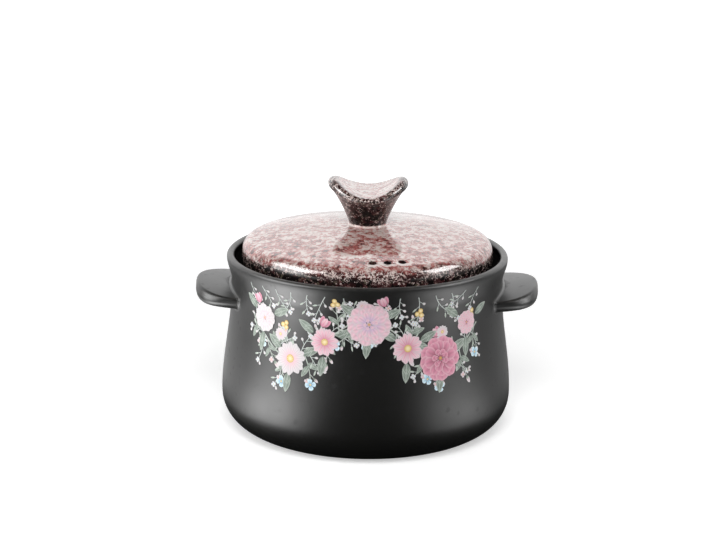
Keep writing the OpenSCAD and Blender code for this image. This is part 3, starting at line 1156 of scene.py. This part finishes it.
@dataclass
class Knob:
    """The knob: a round neck that opens into a saddle with a rolled edge."""

    width: float
    low_z: float
    height: float
    neck_d: float = 28.8
    saddle_h: float = 26.3
    tip_r: float = 4.4
    side_r: float = 2.8
    lean_low: float = 17
    lean_high: float = 50
    fillet_r: float = 1
    low_pull: float = 0.33
    high_pull: float = 0.15
    sunk: float = 1.5
    side_pink: float = 0.4
    saddle_milky: float = 0.55
    flank_steps: int = 30
    roll_steps: int = 24
    saddle_steps: int = 25
    rounds: int = 30
    sides: int = 200

    @classmethod
    def from_frame(cls) -> "Knob":
        """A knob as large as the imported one."""
        low, high = (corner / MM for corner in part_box("lid_knob"))
        return cls(width=2 * high.x, low_z=low.z, height=high.z - low.z)

    def __post_init__(self) -> None:
        """Works out the roll's radius and how strongly the saddle dips.

        The dip is found by stepping: the roll's highest point lies over its middle line, and
        the saddle leaves the roll where both lean alike.
        """
        self.roll_r = self.width / 2 - self.tip_r
        lean = math.radians(40)
        for _ in range(self.rounds):
            rise = self.height - self.tip_r + self.tip_r * math.cos(lean) - self.saddle_h
            self.dip = rise / (self.roll_r - self.tip_r * math.sin(lean)) ** 2
            lean = math.atan(2 * self.dip * (self.roll_r - self.tip_r * math.sin(lean)))

    def flank(self, end_r: Array, end_z: Array, u: Array) -> tuple[Array, Array]:
        """The flank, a curve with four control points from the fillet up to the roll.

        It leaves the fillet at the low lean and meets the roll at the high one, both in degrees
        from upright.

        Args:
            end_r: Radius at which it meets the roll.
            end_z: Height at which it meets the roll.
            u: Shares of the way.

        Returns:
            Radius and height at each share.
        """
        start_r, start_z = self.neck_d / 2, self.fillet_r
        low, high = math.radians(self.lean_low), math.radians(self.lean_high)
        span = np.hypot(end_r - start_r, end_z - start_z)
        weights = [(1 - u) ** 3, 3 * (1 - u) ** 2 * u, 3 * (1 - u) * u**2, u**3]
        out, back = self.low_pull * span, self.high_pull * span
        r = [start_r, start_r + out * math.sin(low), end_r - back * math.sin(high), end_r]
        z = [start_z, start_z + out * math.cos(low), end_z - back * math.cos(high), end_z]
        return sum(map(np.multiply, weights, r)), sum(map(np.multiply, weights, z))

    def stations(self) -> tuple[Array, Array, Array]:
        """Where the rings lie above the fillet, as shares from 0 to 1.

        Returns:
            Shares of the way up the flank, of the way round the roll and of the saddle's radius.
        """
        steps = (self.flank_steps, self.roll_steps, self.saddle_steps)
        up, around, across = (np.linspace(0, 1, count + 1)[1:] for count in steps)
        return up, around, 1 - across[:-1]

    def base(self) -> Array:
        """The section from inside the lid up the fillet.

        Returns:
            Radius and height of each point.
        """
        foot_r = self.neck_d / 2 + self.fillet_r
        fillet = arc((foot_r, self.fillet_r), self.fillet_r, 270, 180, 8)
        return np.concatenate([[[foot_r, -self.sunk], [foot_r + 0.15, -0.05]], fillet])

    def rings(self, t: Array) -> Array:
        """The rings, each one height of the upright slices.

        At each angle t round the axis a slice runs up a fillet and the flank, then round the
        roll and in over the saddle, whose height is the middle's plus dip * x^2.

        Args:
            t: The slices' angles, one in each row.

        Returns:
            The points of each ring, from the bottom up.
        """
        up, around, across = (share[None, :] for share in self.stations())
        tube = self.side_r + (self.tip_r - self.side_r) * np.cos(t) ** 2
        lean = np.zeros_like(t)
        for _ in range(self.rounds):
            lean = np.arctan(2 * self.dip * (self.roll_r - tube * np.sin(lean)) * np.cos(t) ** 2)
        edge_r = self.roll_r - tube * np.sin(lean)
        roll_z = self.saddle_h + self.dip * (edge_r * np.cos(t)) ** 2 - tube * np.cos(lean)
        high = math.radians(self.lean_high)
        end_r, end_z = self.roll_r + tube * math.cos(high), roll_z - tube * math.sin(high)
        flank_r, flank_z = self.flank(end_r, end_z, up)
        turn = -high + (HALF_TURN / 2 + lean + high) * around
        rolled_r, rolled_z = self.roll_r + tube * np.cos(turn), roll_z + tube * np.sin(turn)
        saddle_r = edge_r * across
        saddle_z = self.saddle_h + self.dip * (saddle_r * np.cos(t)) ** 2
        base = self.base()
        base_r, base_z = (np.broadcast_to(part, (self.sides, len(base))) for part in base.T)
        r = np.concatenate([base_r, flank_r, rolled_r, saddle_r], axis=1)
        z = np.concatenate([base_z, flank_z, rolled_z, saddle_z], axis=1)
        return np.stack([r * np.cos(t), r * np.sin(t), z + self.low_z], axis=-1).transpose(1, 0, 2)

    def paint(self, t: Array) -> dict[str, Array]:
        """What is painted on the rings and then on the poles.

        The glaze is thin on the flank, less so to the left and the right, and it is milky on
        the saddle. The fillet at its foot is milky as well, a painted highlight line round the
        base.

        Args:
            t: The slices' angles, one in each row.

        Returns:
            The values under each name.
        """
        flank, roll, saddle = self.stations()
        none = np.zeros(len(self.base()))
        thin = np.concatenate([none, 1.2 - 0.2 * flank, 0.85 - 0.35 * roll, 0.5 * saddle**6])
        pinker = np.concatenate([none, np.full(len(flank), self.side_pink), 0 * roll, 0 * saddle])
        thin = thin[:, None] - pinker[:, None] * np.cos(t[:, 0]) ** 2
        pale = self.saddle_milky * (1 - saddle**8)
        # Painted highlight: the fillet at the knob's foot is painted milky, a pale line round its
        # base.
        milky_and_highlight = np.concatenate([none + 1, 0 * flank, 0 * roll, pale])
        return {
            "thin": np.append(thin, [1.25, 0]),
            "milky_and_highlight": np.append(np.repeat(milky_and_highlight, self.sides), [0, self.saddle_milky]),
            "bare": np.zeros(thin.size + 2),
        }

    def build(self, finish: bpy.types.Material) -> bpy.types.Object:
        """Makes the knob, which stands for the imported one.

        Args:
            finish: Its glaze.

        Returns:
            The piece.
        """
        t = np.linspace(0, TURN, self.sides, endpoint=False)[:, None]
        rings = self.rings(t)
        poles = [[0, 0, self.low_z - self.sunk], [0, 0, self.low_z + self.saddle_h]]
        points = np.concatenate([rings.reshape(-1, 3), poles])
        shape = Shape(points, capped_faces(*rings.shape[:2]), self.paint(t))
        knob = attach(shape.piece("knob", finish), "lid")
        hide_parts("lid_knob")
        return knob


class Ink(Enum):
    """The print's colours."""

    ROSE_DEEP = tone(150, 62, 92)
    ROSE = tone(206, 126, 152)
    BLUSH = tone(228, 184, 196)
    LILAC = tone(196, 168, 200)
    WHITE = tone(210, 204, 206)
    BLUE = tone(138, 186, 214)
    PALE_BLUE = tone(206, 228, 238)
    MUSTARD = tone(206, 164, 66)
    CREAM = tone(240, 226, 176)
    LEAF = tone(92, 108, 96)
    LEAF_LIGHT = tone(170, 182, 168)
    LEAF_EDGE = tone(186, 196, 186)
    STEM = tone(172, 180, 172)
    MIST = tone(198, 206, 202)

    @property
    def light(self) -> Array:
        """The colour as an array."""
        return np.array(self.value)


@dataclass
class Patch:
    """A flat patch of ink: a grid of places in millimetres, each with its colour."""

    places: Array
    colours: Array
    height: float = 0.0

    def moved(self, turn: float, across: float, up: float) -> "Patch":
        """The patch turned by an angle in degrees and moved."""
        c, s = math.cos(math.radians(turn)), math.sin(math.radians(turn))
        return Patch(self.places @ np.array([[c, s], [-s, c]]) + [across, up], self.colours)


def petal(length: float, width: float, foot: Ink, tip: Ink, rim: Ink, start: float = 0.0,
          widest: float = 0.6, point: float = 0.5, fine: int = 12) -> Patch:
    """A petal or leaf that lies along +X.

    Its half width is width / 2 * (1 - (2 t^q - 1)^2)^point at a share t of its length, where q
    puts the widest place at the share widest. The colour goes from foot to tip, turns to rim
    at its edges and has faint veins.

    Args:
        length: From its foot to its tip.
        width: Where it is widest.
        foot: Colour at the foot.
        tip: Colour towards the tip.
        rim: Colour of the edges.
        start: Distance of the foot from the origin.
        widest: Share of the length at which it is widest.
        point: 0.5 for a round end, more for a pointed one.
        fine: Steps along the petal.

    Returns:
        The petal as a patch.
    """
    t = np.linspace(0.004, 0.996, fine + 1)[:, None]
    v = np.linspace(-1, 1, 2 * (fine // 3) + 1)[None, :]
    q = math.log(0.5) / math.log(widest)
    half = width / 2 * (1 - (2 * t**q - 1) ** 2) ** point
    places = np.stack([start + length * t + 0 * v, half * v], axis=-1)
    along = ease(t * 1.15)[..., None]
    colour = foot.light * (1 - along) + tip.light * along + 0 * v[..., None]
    edge = (0.75 * np.abs(v) ** 3 + 0 * t)[..., None] * ease(t * 2)[..., None]
    edge = np.maximum(edge, (ease((t - 0.8) / 0.2) * 0.7 + 0 * v)[..., None])
    colour = colour * (1 - edge) + rim.light * edge
    vein = 0.13 * np.cos(v * 2.5 * HALF_TURN)[..., None] * (1 - edge)
    return Patch(places, np.clip(colour * (1 - vein), 0, 1))


def disc(radius: float, middle: Ink, rim: Ink, sides: int = 16) -> Patch:
    """A round spot of points r cos a and r sin a.

    Args:
        radius: Its radius.
        middle: Colour of the middle.
        rim: Colour of the rim.
        sides: Number of its sides.

    Returns:
        The spot as a patch.
    """
    a = np.linspace(0, TURN, sides + 1)[None, :]
    r = np.linspace(0.03, 1, 5)[:, None]
    places = radius * np.stack([r * np.cos(a), r * np.sin(a)], axis=-1)
    share = (r**1.5 + 0 * a)[..., None]
    return Patch(places, middle.light * (1 - share) + rim.light * share)


def ribbon(path: Array, start_w: float, end_w: float, ink: Ink) -> Patch:
    """A stem: points to both sides of a path, at half of its width.

    Args:
        path: Points along its middle.
        start_w: Its width where it starts.
        end_w: Its width where it ends.
        ink: Its colour, which is darker along both sides.

    Returns:
        The stem as a patch.
    """
    along = np.gradient(path, axis=0)
    along /= np.linalg.norm(along, axis=1)[:, None]
    side = np.stack([-along[:, 1], along[:, 0]], axis=1)
    half = np.linspace(start_w, end_w, len(path))[:, None] / 2
    places = np.stack([path - side * half, path, path + side * half], axis=1)
    light = np.array([0.7, 1.15, 0.85])[None, :, None]
    return Patch(places, np.clip(ink.light * light + 0 * places[..., :1], 0, 1))


class Bloom(Enum):
    """The kinds of blossom at the end of a sprig."""

    DAISY = "daisy"
    TULIP = "tulip"
    CROSS = "cross"
    BERRY = "berry"
    BUD = "bud"


class Deck(Enum):
    """How high above the first ink each kind of motif lies, in millimetres."""

    STEM = 0.0
    LEAF = 0.045
    SMALL = 0.09
    TIP = 0.14
    UNDER_BLOOM = 0.2
    BLOOM = 0.31


@dataclass
class FlowerPrint:
    """A printed garland that waves across the front of the pot, and its sprigs of blossom.

    The design is laid out flat, in millimetres across from the middle of the front and in
    height, and then lies on the wall.
    """

    pot: Pot
    wave_h: float = 97
    wave_swing: float = 17
    wave_length: float = 118
    left_end: float = -101
    right_end: float = 95
    top_h: float = 131
    lift: float = 0.08
    layer_step: float = 0.003
    odd_step: float = 0.0008
    odd_steps: int = 53
    seed: int = 7
    stem_w: float = 1.1
    sprigs: int = 23
    tendrils: int = 26
    hanging: int = 15
    leaf_out: float = 11
    patches: list[Patch] = field(default_factory=list)

    def add(self, deck: Deck, patches: list[Patch], turn: float = 0, across: float = 0,
            up: float = 0) -> None:
        """Lays patches on a deck, each a little above the last, turned and moved together.

        Args:
            deck: The deck.
            patches: The patches, from the lowest up.
            turn: How far they are turned, in degrees.
            across: How far they are moved across.
            up: How far they are moved up.
        """
        for i, patch in enumerate(patches):
            laid = patch.moved(turn, across, up)
            odd = self.odd_step * (len(self.patches) % self.odd_steps)
            laid.height = self.lift + deck.value + self.layer_step * i + odd
            self.patches.append(laid)

    def wave(self, s: Array) -> Array:
        """Height of the main stem at a distance across: a cosine with its crest in the middle."""
        return self.wave_h + self.wave_swing * np.cos(TURN * s / self.wave_length)

    def dahlia(self, radius: float, deep: Ink, mid: Ink, light: Ink) -> list[Patch]:
        """Rings of pointed petals, each ring smaller and turned by half a petal.

        Args:
            radius: Its radius.
            deep: Colour at the petals' feet.
            mid: Colour of the petals.
            light: Colour of their edges.

        Returns:
            Its patches.
        """
        made = []
        rings = [(1.0, 11), (0.8, 10), (0.6, 9), (0.42, 7), (0.26, 5)]
        for ring, (share, count) in enumerate(rings):
            reach = radius * share
            for i in range(count):
                turn = 360 * (i + 0.5 * (ring % 2)) / count + 9 * math.sin(5 * i + ring)
                shape = petal(0.72 * reach, 0.62 * reach, deep, mid, light, start=0.26 * reach,
                              widest=0.62, point=0.56, fine=9)
                made.append(shape.moved(turn, 0, 0))
        return made + [disc(0.1 * radius, Ink.MUSTARD, deep)]

    def daisy(self, radius: float, foot: Ink, tip: Ink) -> list[Patch]:
        """Two rings of narrow petals round a mustard button.

        Args:
            radius: Its radius.
            foot: Colour at the petals' feet.
            tip: Colour towards their tips.

        Returns:
            Its patches.
        """
        made = []
        for ring, count in enumerate([12, 11]):
            for i in range(count):
                turn = 360 * (i + 0.5 * ring) / count + 5 * math.sin(3 * i)
                shape = petal(radius * (0.86 - 0.1 * ring), 0.34 * radius, foot, tip, Ink.WHITE,
                              start=0.12 * radius, widest=0.7, point=0.5, fine=9)
                made.append(shape.moved(turn, 0, 0))
        dot, out = disc(0.05 * radius, Ink.CREAM, Ink.MUSTARD, 8), 0.17 * radius
        dots = [dot.moved(0, out * math.cos(a), out * math.sin(a))
                for a in np.linspace(0, TURN, 9, endpoint=False)]
        return made + [disc(0.24 * radius, Ink.CREAM, Ink.MUSTARD)] + dots

    def tulip(self, size: float) -> list[Patch]:
        """A cup of three petals seen from the side, which opens along +X.

        Args:
            size: Its length.

        Returns:
            Its patches.
        """
        outer = petal(size, 0.52 * size, Ink.ROSE_DEEP, Ink.ROSE, Ink.BLUSH, widest=0.5, point=0.7)
        inner = petal(0.94 * size, 0.5 * size, Ink.ROSE, Ink.BLUSH, Ink.WHITE,
                      widest=0.5, point=0.7)
        return [outer.moved(24, 0, 0), outer.moved(-24, 0, 0), inner]

    def cross(self, radius: float, foot: Ink, tip: Ink) -> list[Patch]:
        """A small flower of four round petals.

        Args:
            radius: Its radius.
            foot: Colour at the petals' feet.
            tip: Colour of the petals.

        Returns:
            Its patches.
        """
        one = petal(0.9 * radius, 0.86 * radius, foot, tip, tip,
                    start=0.1 * radius, widest=0.62, fine=6)
        made = [one.moved(90 * i + 12, 0, 0) for i in range(4)]
        return made + [disc(0.2 * radius, Ink.CREAM, Ink.MUSTARD, 8)]

    def berry(self, radius: float) -> list[Patch]:
        """Three round berries in a bunch."""
        return [disc(radius, Ink.CREAM, Ink.MUSTARD, 12).moved(0, x * radius, y * radius)
                for x, y in [(0.2, 0.95), (0.2, -0.95), (1.8, 0)]]

    def bud(self, size: float) -> list[Patch]:
        """A closed white bud in a green cup.

        Args:
            size: Its length.

        Returns:
            Its patches.
        """
        white = petal(size, 0.46 * size, Ink.BLUSH, Ink.WHITE, Ink.WHITE,
                      widest=0.5, point=0.6, fine=6)
        cup = petal(0.5 * size, 0.36 * size, Ink.LEAF, Ink.LEAF_LIGHT, Ink.LEAF,
                    widest=0.4, point=0.8, fine=6)
        return [white, cup]

    def leaf(self, length: float) -> list[Patch]:
        """A pointed leaf with a light midrib and side veins.

        Args:
            length: Its length.

        Returns:
            Its one patch.
        """
        blade = petal(length, 0.42 * length, Ink.LEAF, Ink.LEAF, Ink.LEAF_EDGE,
                      widest=0.42, point=0.85)
        t = np.linspace(0, 1, blade.places.shape[0])[:, None]
        v = np.linspace(-1, 1, blade.places.shape[1])[None, :]
        midrib = np.exp(-((v / 0.16) ** 2))
        veins = np.cos(TURN * (3.5 * t - 0.9 * np.abs(v))) ** 8
        share = 0.65 * np.maximum(midrib, veins)[..., None]
        blade.colours = blade.colours * (1 - share) + Ink.LEAF_EDGE.light * share
        return [blade]

    def tip(self, kind: Bloom) -> list[Patch]:
        """The small blossom that ends a sprig."""
        return {
            Bloom.TULIP: lambda: self.tulip(8.5),
            Bloom.CROSS: lambda: self.cross(4.4, Ink.BLUE, Ink.PALE_BLUE),
            Bloom.BERRY: lambda: self.berry(1.9),
            Bloom.BUD: lambda: self.bud(6.5),
            Bloom.DAISY: lambda: self.daisy(5.2, Ink.BLUSH, Ink.WHITE),
        }[kind]()

    @staticmethod
    def shoot(across: float, up: float, turn: float, length: float,
              bend: float) -> tuple[Array, Array]:
        """A curved twig: its path and its direction at each point of the path, in radians.

        Args:
            across: Where it leaves the stem.
            up: The height of that place.
            turn: Its direction there, in degrees from level.
            length: Its length.
            bend: How far it turns along its way, in degrees.

        Returns:
            The path and the directions.
        """
        heading = np.radians(turn + bend * np.linspace(0, 1, 12))
        step = length / (len(heading) - 1) * np.stack([np.cos(heading), np.sin(heading)], axis=1)
        path = np.array([across, up]) + np.concatenate([[[0, 0]], np.cumsum(step[:-1], axis=0)])
        return path, heading

    def twig(self, start: Array, way: float, length: float, width: float, ink: Ink) -> Array:
        """Draws a straight twig.

        Args:
            start: Where it starts.
            way: Its direction, in radians.
            length: Its length.
            width: Its width at the start.
            ink: Its colour.

        Returns:
            Its end.
        """
        end = start + length * np.array([math.cos(way), math.sin(way)])
        self.add(Deck.STEM, [ribbon(np.linspace(start, end, 4), width, 0.8 * width, ink)])
        return end

    def sprig(self, path: Array, heading: Array, kind: Bloom) -> None:
        """Draws a twig with a pair of leaves, two side twigs and a blossom at its end.

        Args:
            path: Points along it.
            heading: Its direction at each of them, in radians.
            kind: The blossom's kind.
        """
        length = float(np.linalg.norm(np.diff(path, axis=0), axis=1).sum())
        self.add(Deck.STEM, [ribbon(path, 0.9, 0.55, Ink.STEM)])
        for at, side in [(3, 1), (4, -1)]:
            turn = math.degrees(heading[at]) + 48 * side
            self.add(Deck.LEAF, self.leaf(0.34 * length + 2.5), turn, *path[at])
        for at, side in [(7, 1), (8, -1)]:
            out = heading[at] + math.radians(38 * side)
            end = self.twig(path[at], out, 0.2 * length, 0.55, Ink.STEM)
            small = self.bud(4.4) if side > 0 else self.cross(2.4, Ink.BLUSH, Ink.WHITE)
            self.add(Deck.SMALL, small, math.degrees(out), *end)
        self.add(Deck.TIP, self.tip(kind), math.degrees(heading[-1]), *path[-1])

    def tendril(self, path: Array, heading: Array) -> None:
        """Draws a fine pale twig with narrow leaves and small bells.

        Args:
            path: Points along it.
            heading: Its direction at each of them, in radians.
        """
        self.add(Deck.STEM, [ribbon(path, 0.65, 0.4, Ink.MIST)])
        for at, side in [(2, 1), (4, -1), (6, 1), (8, -1), (10, 1)]:
            out = heading[at] + math.radians(52 * side)
            end = self.twig(path[at], out, 2.6, 0.4, Ink.MIST)
            bell = petal(3.1, 1.9, Ink.MIST, Ink.WHITE, Ink.WHITE, widest=0.66, point=0.5, fine=6)
            blade = petal(4.2, 1.3, Ink.LEAF_EDGE, Ink.LEAF_LIGHT, Ink.MIST,
                          widest=0.45, point=0.8, fine=6)
            self.add(Deck.SMALL, [bell if at % 4 else blade], math.degrees(out), *end)
        self.add(Deck.SMALL, self.cross(2.2, Ink.PALE_BLUE, Ink.WHITE), 0, *path[-1])

    def spread(self, margin: float, count: int) -> Array:
        """Even steps across the print, with a margin at each end."""
        return np.linspace(self.left_end + margin, self.right_end - margin, count)

    def lay_sprigs(self, rng: np.random.Generator) -> None:
        """Draws sprigs above and below the stem by turns, as long as they have room.

        Args:
            rng: The source of their lengths, leans and bends.
        """
        kinds = [Bloom.CROSS, Bloom.TULIP, Bloom.BUD, Bloom.BERRY, Bloom.CROSS, Bloom.DAISY]
        for i, across in enumerate(self.spread(3, self.sprigs)):
            side = 1 if i % 2 else -1
            up = float(self.wave(across))
            room = self.top_h - 6 - up if side > 0 else 34
            length = min(room, 17 + 8 * rng.random())
            if length > 7:
                turn = side * 90 + rng.uniform(-28, 28)
                shoot = self.shoot(across, up, turn, length, rng.uniform(-45, 45))
                self.sprig(*shoot, kinds[i % len(kinds)])

    def lay_tendrils(self, rng: np.random.Generator) -> None:
        """Draws tendrils from the stem, a third of them downwards, and some that hang over it.

        Args:
            rng: The source of their lengths, leans and bends.
        """
        for i, across in enumerate(self.spread(7, self.tendrils)):
            side = -1 if i % 3 == 1 else 1
            up = float(self.wave(across))
            room = self.top_h - 3 - up if side > 0 else 30
            length = min(room, 16 + 9 * rng.random())
            lean, bend = rng.uniform(-50, 50), rng.uniform(-70, 70)
            if length > 6:
                self.tendril(*self.shoot(across, up, side * 90 + lean, length, bend))
        for across in self.spread(2, self.hanging):
            room = self.top_h - 9 - float(self.wave(across))
            length = min(room, 15 + 8 * rng.random())
            lean, bend = rng.uniform(-40, 40), rng.uniform(-60, 60)
            if length > 9:
                self.tendril(*self.shoot(across, self.top_h, lean - 90, length, bend))

    def lay_blooms(self) -> None:
        """Draws the large flowers, each on three leaves."""
        blooms = [
            (self.dahlia(17.5, Ink.ROSE_DEEP, Ink.ROSE, Ink.BLUSH), 57, 82),
            (self.dahlia(17, Ink.LILAC, Ink.BLUSH, Ink.WHITE), 2, 111),
            (self.daisy(13, Ink.BLUSH, Ink.WHITE), -58, 80),
            (self.daisy(11, Ink.ROSE, Ink.BLUSH), -31, 96),
            (self.dahlia(11, Ink.BLUSH, Ink.WHITE, Ink.WHITE), -85, 106),
            (self.daisy(12, Ink.ROSE, Ink.BLUSH), 31, 92),
            (self.dahlia(9.5, Ink.ROSE, Ink.BLUSH, Ink.WHITE), 83, 105),
        ]
        for patches, across, up in blooms:
            for turn in (25, 145, 265):
                way = math.radians(turn)
                right, over = self.leaf_out * math.cos(way), self.leaf_out * math.sin(way)
                self.add(Deck.UNDER_BLOOM, self.leaf(15), turn, across + right, up + over)
            self.add(Deck.BLOOM, patches, 17 * across, across, up)

    def lay_out(self) -> None:
        """Draws the garland: the stem, its sprigs and tendrils, then the large flowers."""
        s = self.spread(0, 120)
        stem = ribbon(np.stack([s, self.wave(s)], axis=1), self.stem_w, self.stem_w, Ink.STEM)
        self.add(Deck.STEM, [stem])
        rng = np.random.default_rng(self.seed)
        self.lay_sprigs(rng)
        self.lay_tendrils(rng)
        self.lay_blooms()

    def build(self, finish: bpy.types.Material) -> bpy.types.Object:
        """Lays the design on the wall.

        A place s across and h up goes to the angle s / R round the pot, where R is the wall's
        radius at the print's middle, and to the wall's radius at h plus the patch's height.

        Args:
            finish: The fired ink.

        Returns:
            The piece.
        """
        self.lay_out()
        round_r = float(self.pot.wall_r(np.array(self.wave_h)))
        points, colours, faces, first = [], [], [], 0
        for patch in self.patches:
            rows, columns = patch.places.shape[:2]
            s, h = patch.places[..., 0].ravel(), patch.places[..., 1].ravel()
            r = self.pot.wall_r(h) + patch.height
            turn = s / round_r
            points.append(np.stack([r * np.sin(turn), -r * np.cos(turn), h], axis=1))
            ink = patch.colours.reshape(-1, 3)
            colours.append(np.concatenate([ink, np.ones((len(s), 1))], axis=1))
            faces += (grid_faces(rows, columns, closed=False) + first).tolist()
            first += len(s)
        shape = Shape(np.concatenate(points), faces, {"ink": np.concatenate(colours)})
        printed = shape.piece("flower_print", finish, outward=False)
        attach(printed, "pot")
        return printed


class Role(Enum):
    """What a soft box does."""

    MIRRORED = "mirrored"
    FILL = "fill"


@dataclass
class Studio:
    """The camera, the light and the floor of the photograph."""

    lens_mm: float = 94.95
    sensor_mm: float = 36
    sight_m: float = 50
    camera_at: Triple = (0, -1433.1, 512.9)
    aim_at: Triple = (-7.19, 0, 123.42)
    roll: float = 0.681
    lamps_aim: Triple = (0, 0, 200)
    floor_gap: float = 0.2
    floor_size: float = 8000
    floor_seen: Triple = (0.8, 0.8, 0.8)
    floor_unseen: Triple = (0.03, 0.03, 0.03)
    left_glow: float = 6.2
    right_glow: float = 2.5

    def camera(self) -> None:
        """Sets up the camera: it looks from its place at its aim, rolled a little."""
        data = bpy.data.cameras.new("camera")
        data.lens = self.lens_mm
        data.sensor_width = self.sensor_mm
        data.clip_end = self.sight_m
        look = (Vector(self.aim_at) - Vector(self.camera_at)).normalized()
        right = look.cross(Vector((0, 0, 1))).normalized()
        up = right.cross(look)
        c, s = math.cos(math.radians(self.roll)), math.sin(math.radians(self.roll))
        rows = Matrix((c * right + s * up, c * up - s * right, -look)).transposed().to_4x4()
        thing = bpy.data.objects.new("camera", data)
        thing.matrix_world = Matrix.Translation(Vector(self.camera_at) * MM) @ rows
        bpy.context.scene.collection.objects.link(thing)
        bpy.context.scene.camera = thing

    def lamp(self, name: str, at: Triple, size: Pair, radiance: float, role: Role) -> None:
        """A soft box that faces the lamps' aim.

        Its power is radiance * pi * area, the light that a plain glowing sheet gives off.

        Args:
            name: Its name.
            at: Its place, in millimetres.
            size: Its width and height, in millimetres.
            radiance: How bright its face is, where 1 is white.
            role: Whether it is only mirrored in the glaze or only lights colours up.
        """
        data = bpy.data.lights.new(name, "AREA")
        data.shape = "RECTANGLE"
        data.size, data.size_y = size[0] * MM, size[1] * MM
        data.energy = radiance * math.pi * data.size * data.size_y
        thing = bpy.data.objects.new(name, data)
        thing.visible_glossy = role is Role.MIRRORED
        thing.visible_diffuse = role is Role.FILL
        facing = (Vector(self.lamps_aim) - Vector(at)).to_track_quat("-Z", "Y")
        thing.matrix_world = Matrix.Translation(Vector(at) * MM) @ facing.to_matrix().to_4x4()
        bpy.context.scene.collection.objects.link(thing)

    def lamps(self) -> None:
        """Soft boxes on both sides, the left ones stronger, and plain fill from three sides."""
        self.lamp("left_box", (-1150, -330, 500), (760, 780), 3.1, Role.MIRRORED)
        self.lamp("left_bank", (-1060, -340, 890), (1150, 580), 4.4, Role.MIRRORED)
        self.lamp("right_box", (1150, -400, 500), (520, 780), 1.1, Role.MIRRORED)
        self.lamp("right_bank", (1060, -190, 900), (720, 560), 5.4, Role.MIRRORED)
        self.lamp("left_fill", (-1150, -500, 500), (860, 880), 2.6, Role.FILL)
        self.lamp("right_fill", (1150, -500, 500), (860, 880), 1.2, Role.FILL)
        self.lamp("front_fill", (0, -1150, 1050), (700, 700), 11, Role.FILL)

    def world(self) -> None:
        """White light from behind, a little more on the left, that falls off in front and high up.

        The camera sees plain white, and so does what shows through glass.
        """
        world = bpy.data.worlds.new("studio")
        bpy.context.scene.world = world
        web = Web(world)
        way = web.node("TexCoord", output="Generated")
        behind = web.part(way, "Y").within(0.15, 0.85)
        left = 1 - web.part(way, "X").within(-0.55, 0)
        up = web.part(way, "Z")
        fall = 1.15 * up.within(0.57, 0.76) + 0.35 * up.within(0.76, 0.95)
        level = 1.36 + 0.28 * up.within(0.25, 0.42) - fall
        level = 0.02 + level * behind * (1 + 0.1 * left)
        through = web.node("LightPath", output="Is Transmission Ray")
        seen = web.node("LightPath", output="Is Camera Ray").most(through)
        light = web.node("Background", None, {"Color": (1, 1, 1), "Strength": level.most(seen)})
        web.node("OutputWorld", None, {"Surface": light})

    def floor(self) -> None:
        """A floor that the camera sees as white, with the pot's soft shadow.

        In the glaze it is dark under the pot and in front of it, and it glows behind the pot
        and to both sides, more on the left. To a side the glow is where |x| over |x| plus the
        distance to the front is large. It fades as y over |x| grows, and with the distance
        from the pot.
        """
        made = bpy.data.materials.new("floor")
        web = Web(made)
        seen = web.node("LightPath", output="Is Camera Ray")
        place = web.place(1)
        x, y = web.part(place, "X"), web.part(place, "Y")
        side = x.unsigned()
        beside = (side / (side + (0 - y).most(0.001))).within(0.33, 0.63)
        beside = beside * (1 - 0.84 * (y / side.most(0.01)).within(-0.45, 0.05))
        distance = web.node("VectorMath", {"operation": "LENGTH"}, {0: place}, "Value")
        near = distance.within(0.14, 0.22) * (1 - 0.85 * distance.within(0.3, 0.7))
        level = self.left_glow - (self.left_glow - self.right_glow) * x.within(-0.05, 0.05)
        glow = (level * beside * near).most(y.within(0.3, 0.8))
        white = 0.5 + 0.5 * distance.within(0.35, 0.9)
        web.finish({
            "Base Color": web.blend(seen, self.floor_unseen, self.floor_seen),
            "Roughness": 0.9,
            "Specular IOR Level": 0.0,
            "Emission Color": web.blend(seen, web.grey(glow), web.grey(white)),
            "Emission Strength": 1.0,
        })
        half = self.floor_size / 2
        corners = np.array([[-half, -half], [half, -half], [half, half], [-half, half]])
        points = np.concatenate([corners, np.full((4, 1), -self.floor_gap)], axis=1)
        Shape(points, [[0, 1, 2, 3]]).piece("floor", made, outward=False)

    def build(self) -> None:
        """Sets up everything."""
        self.camera()
        self.lamps()
        self.world()
        self.floor()


def main() -> None:
    """Builds the scene piece by piece."""
    logging.basicConfig(level=logging.INFO, format="%(name)s: %(message)s")
    bpy.context.scene.view_settings.view_transform = "Standard"
    Studio().build()
    black = BlackGlaze().material()
    pink = PinkGlaze().material()
    pot = Pot.from_frame()
    lug = Lug.from_frame(pot)
    made = [
        pot.build(black),
        lug.build("lug_left", "lug_handle_left", True, black),
        lug.build("lug_right", "lug_handle_right", False, black),
        Lid.from_frame().build(pink),
        Knob.from_frame().build(pink),
        FlowerPrint(pot).build(PrintInk().material()),
    ]
    for piece in made:
        log.info("%s: %d faces", piece.name, len(piece.data.polygons))


if __name__ == "__main__":
    main()
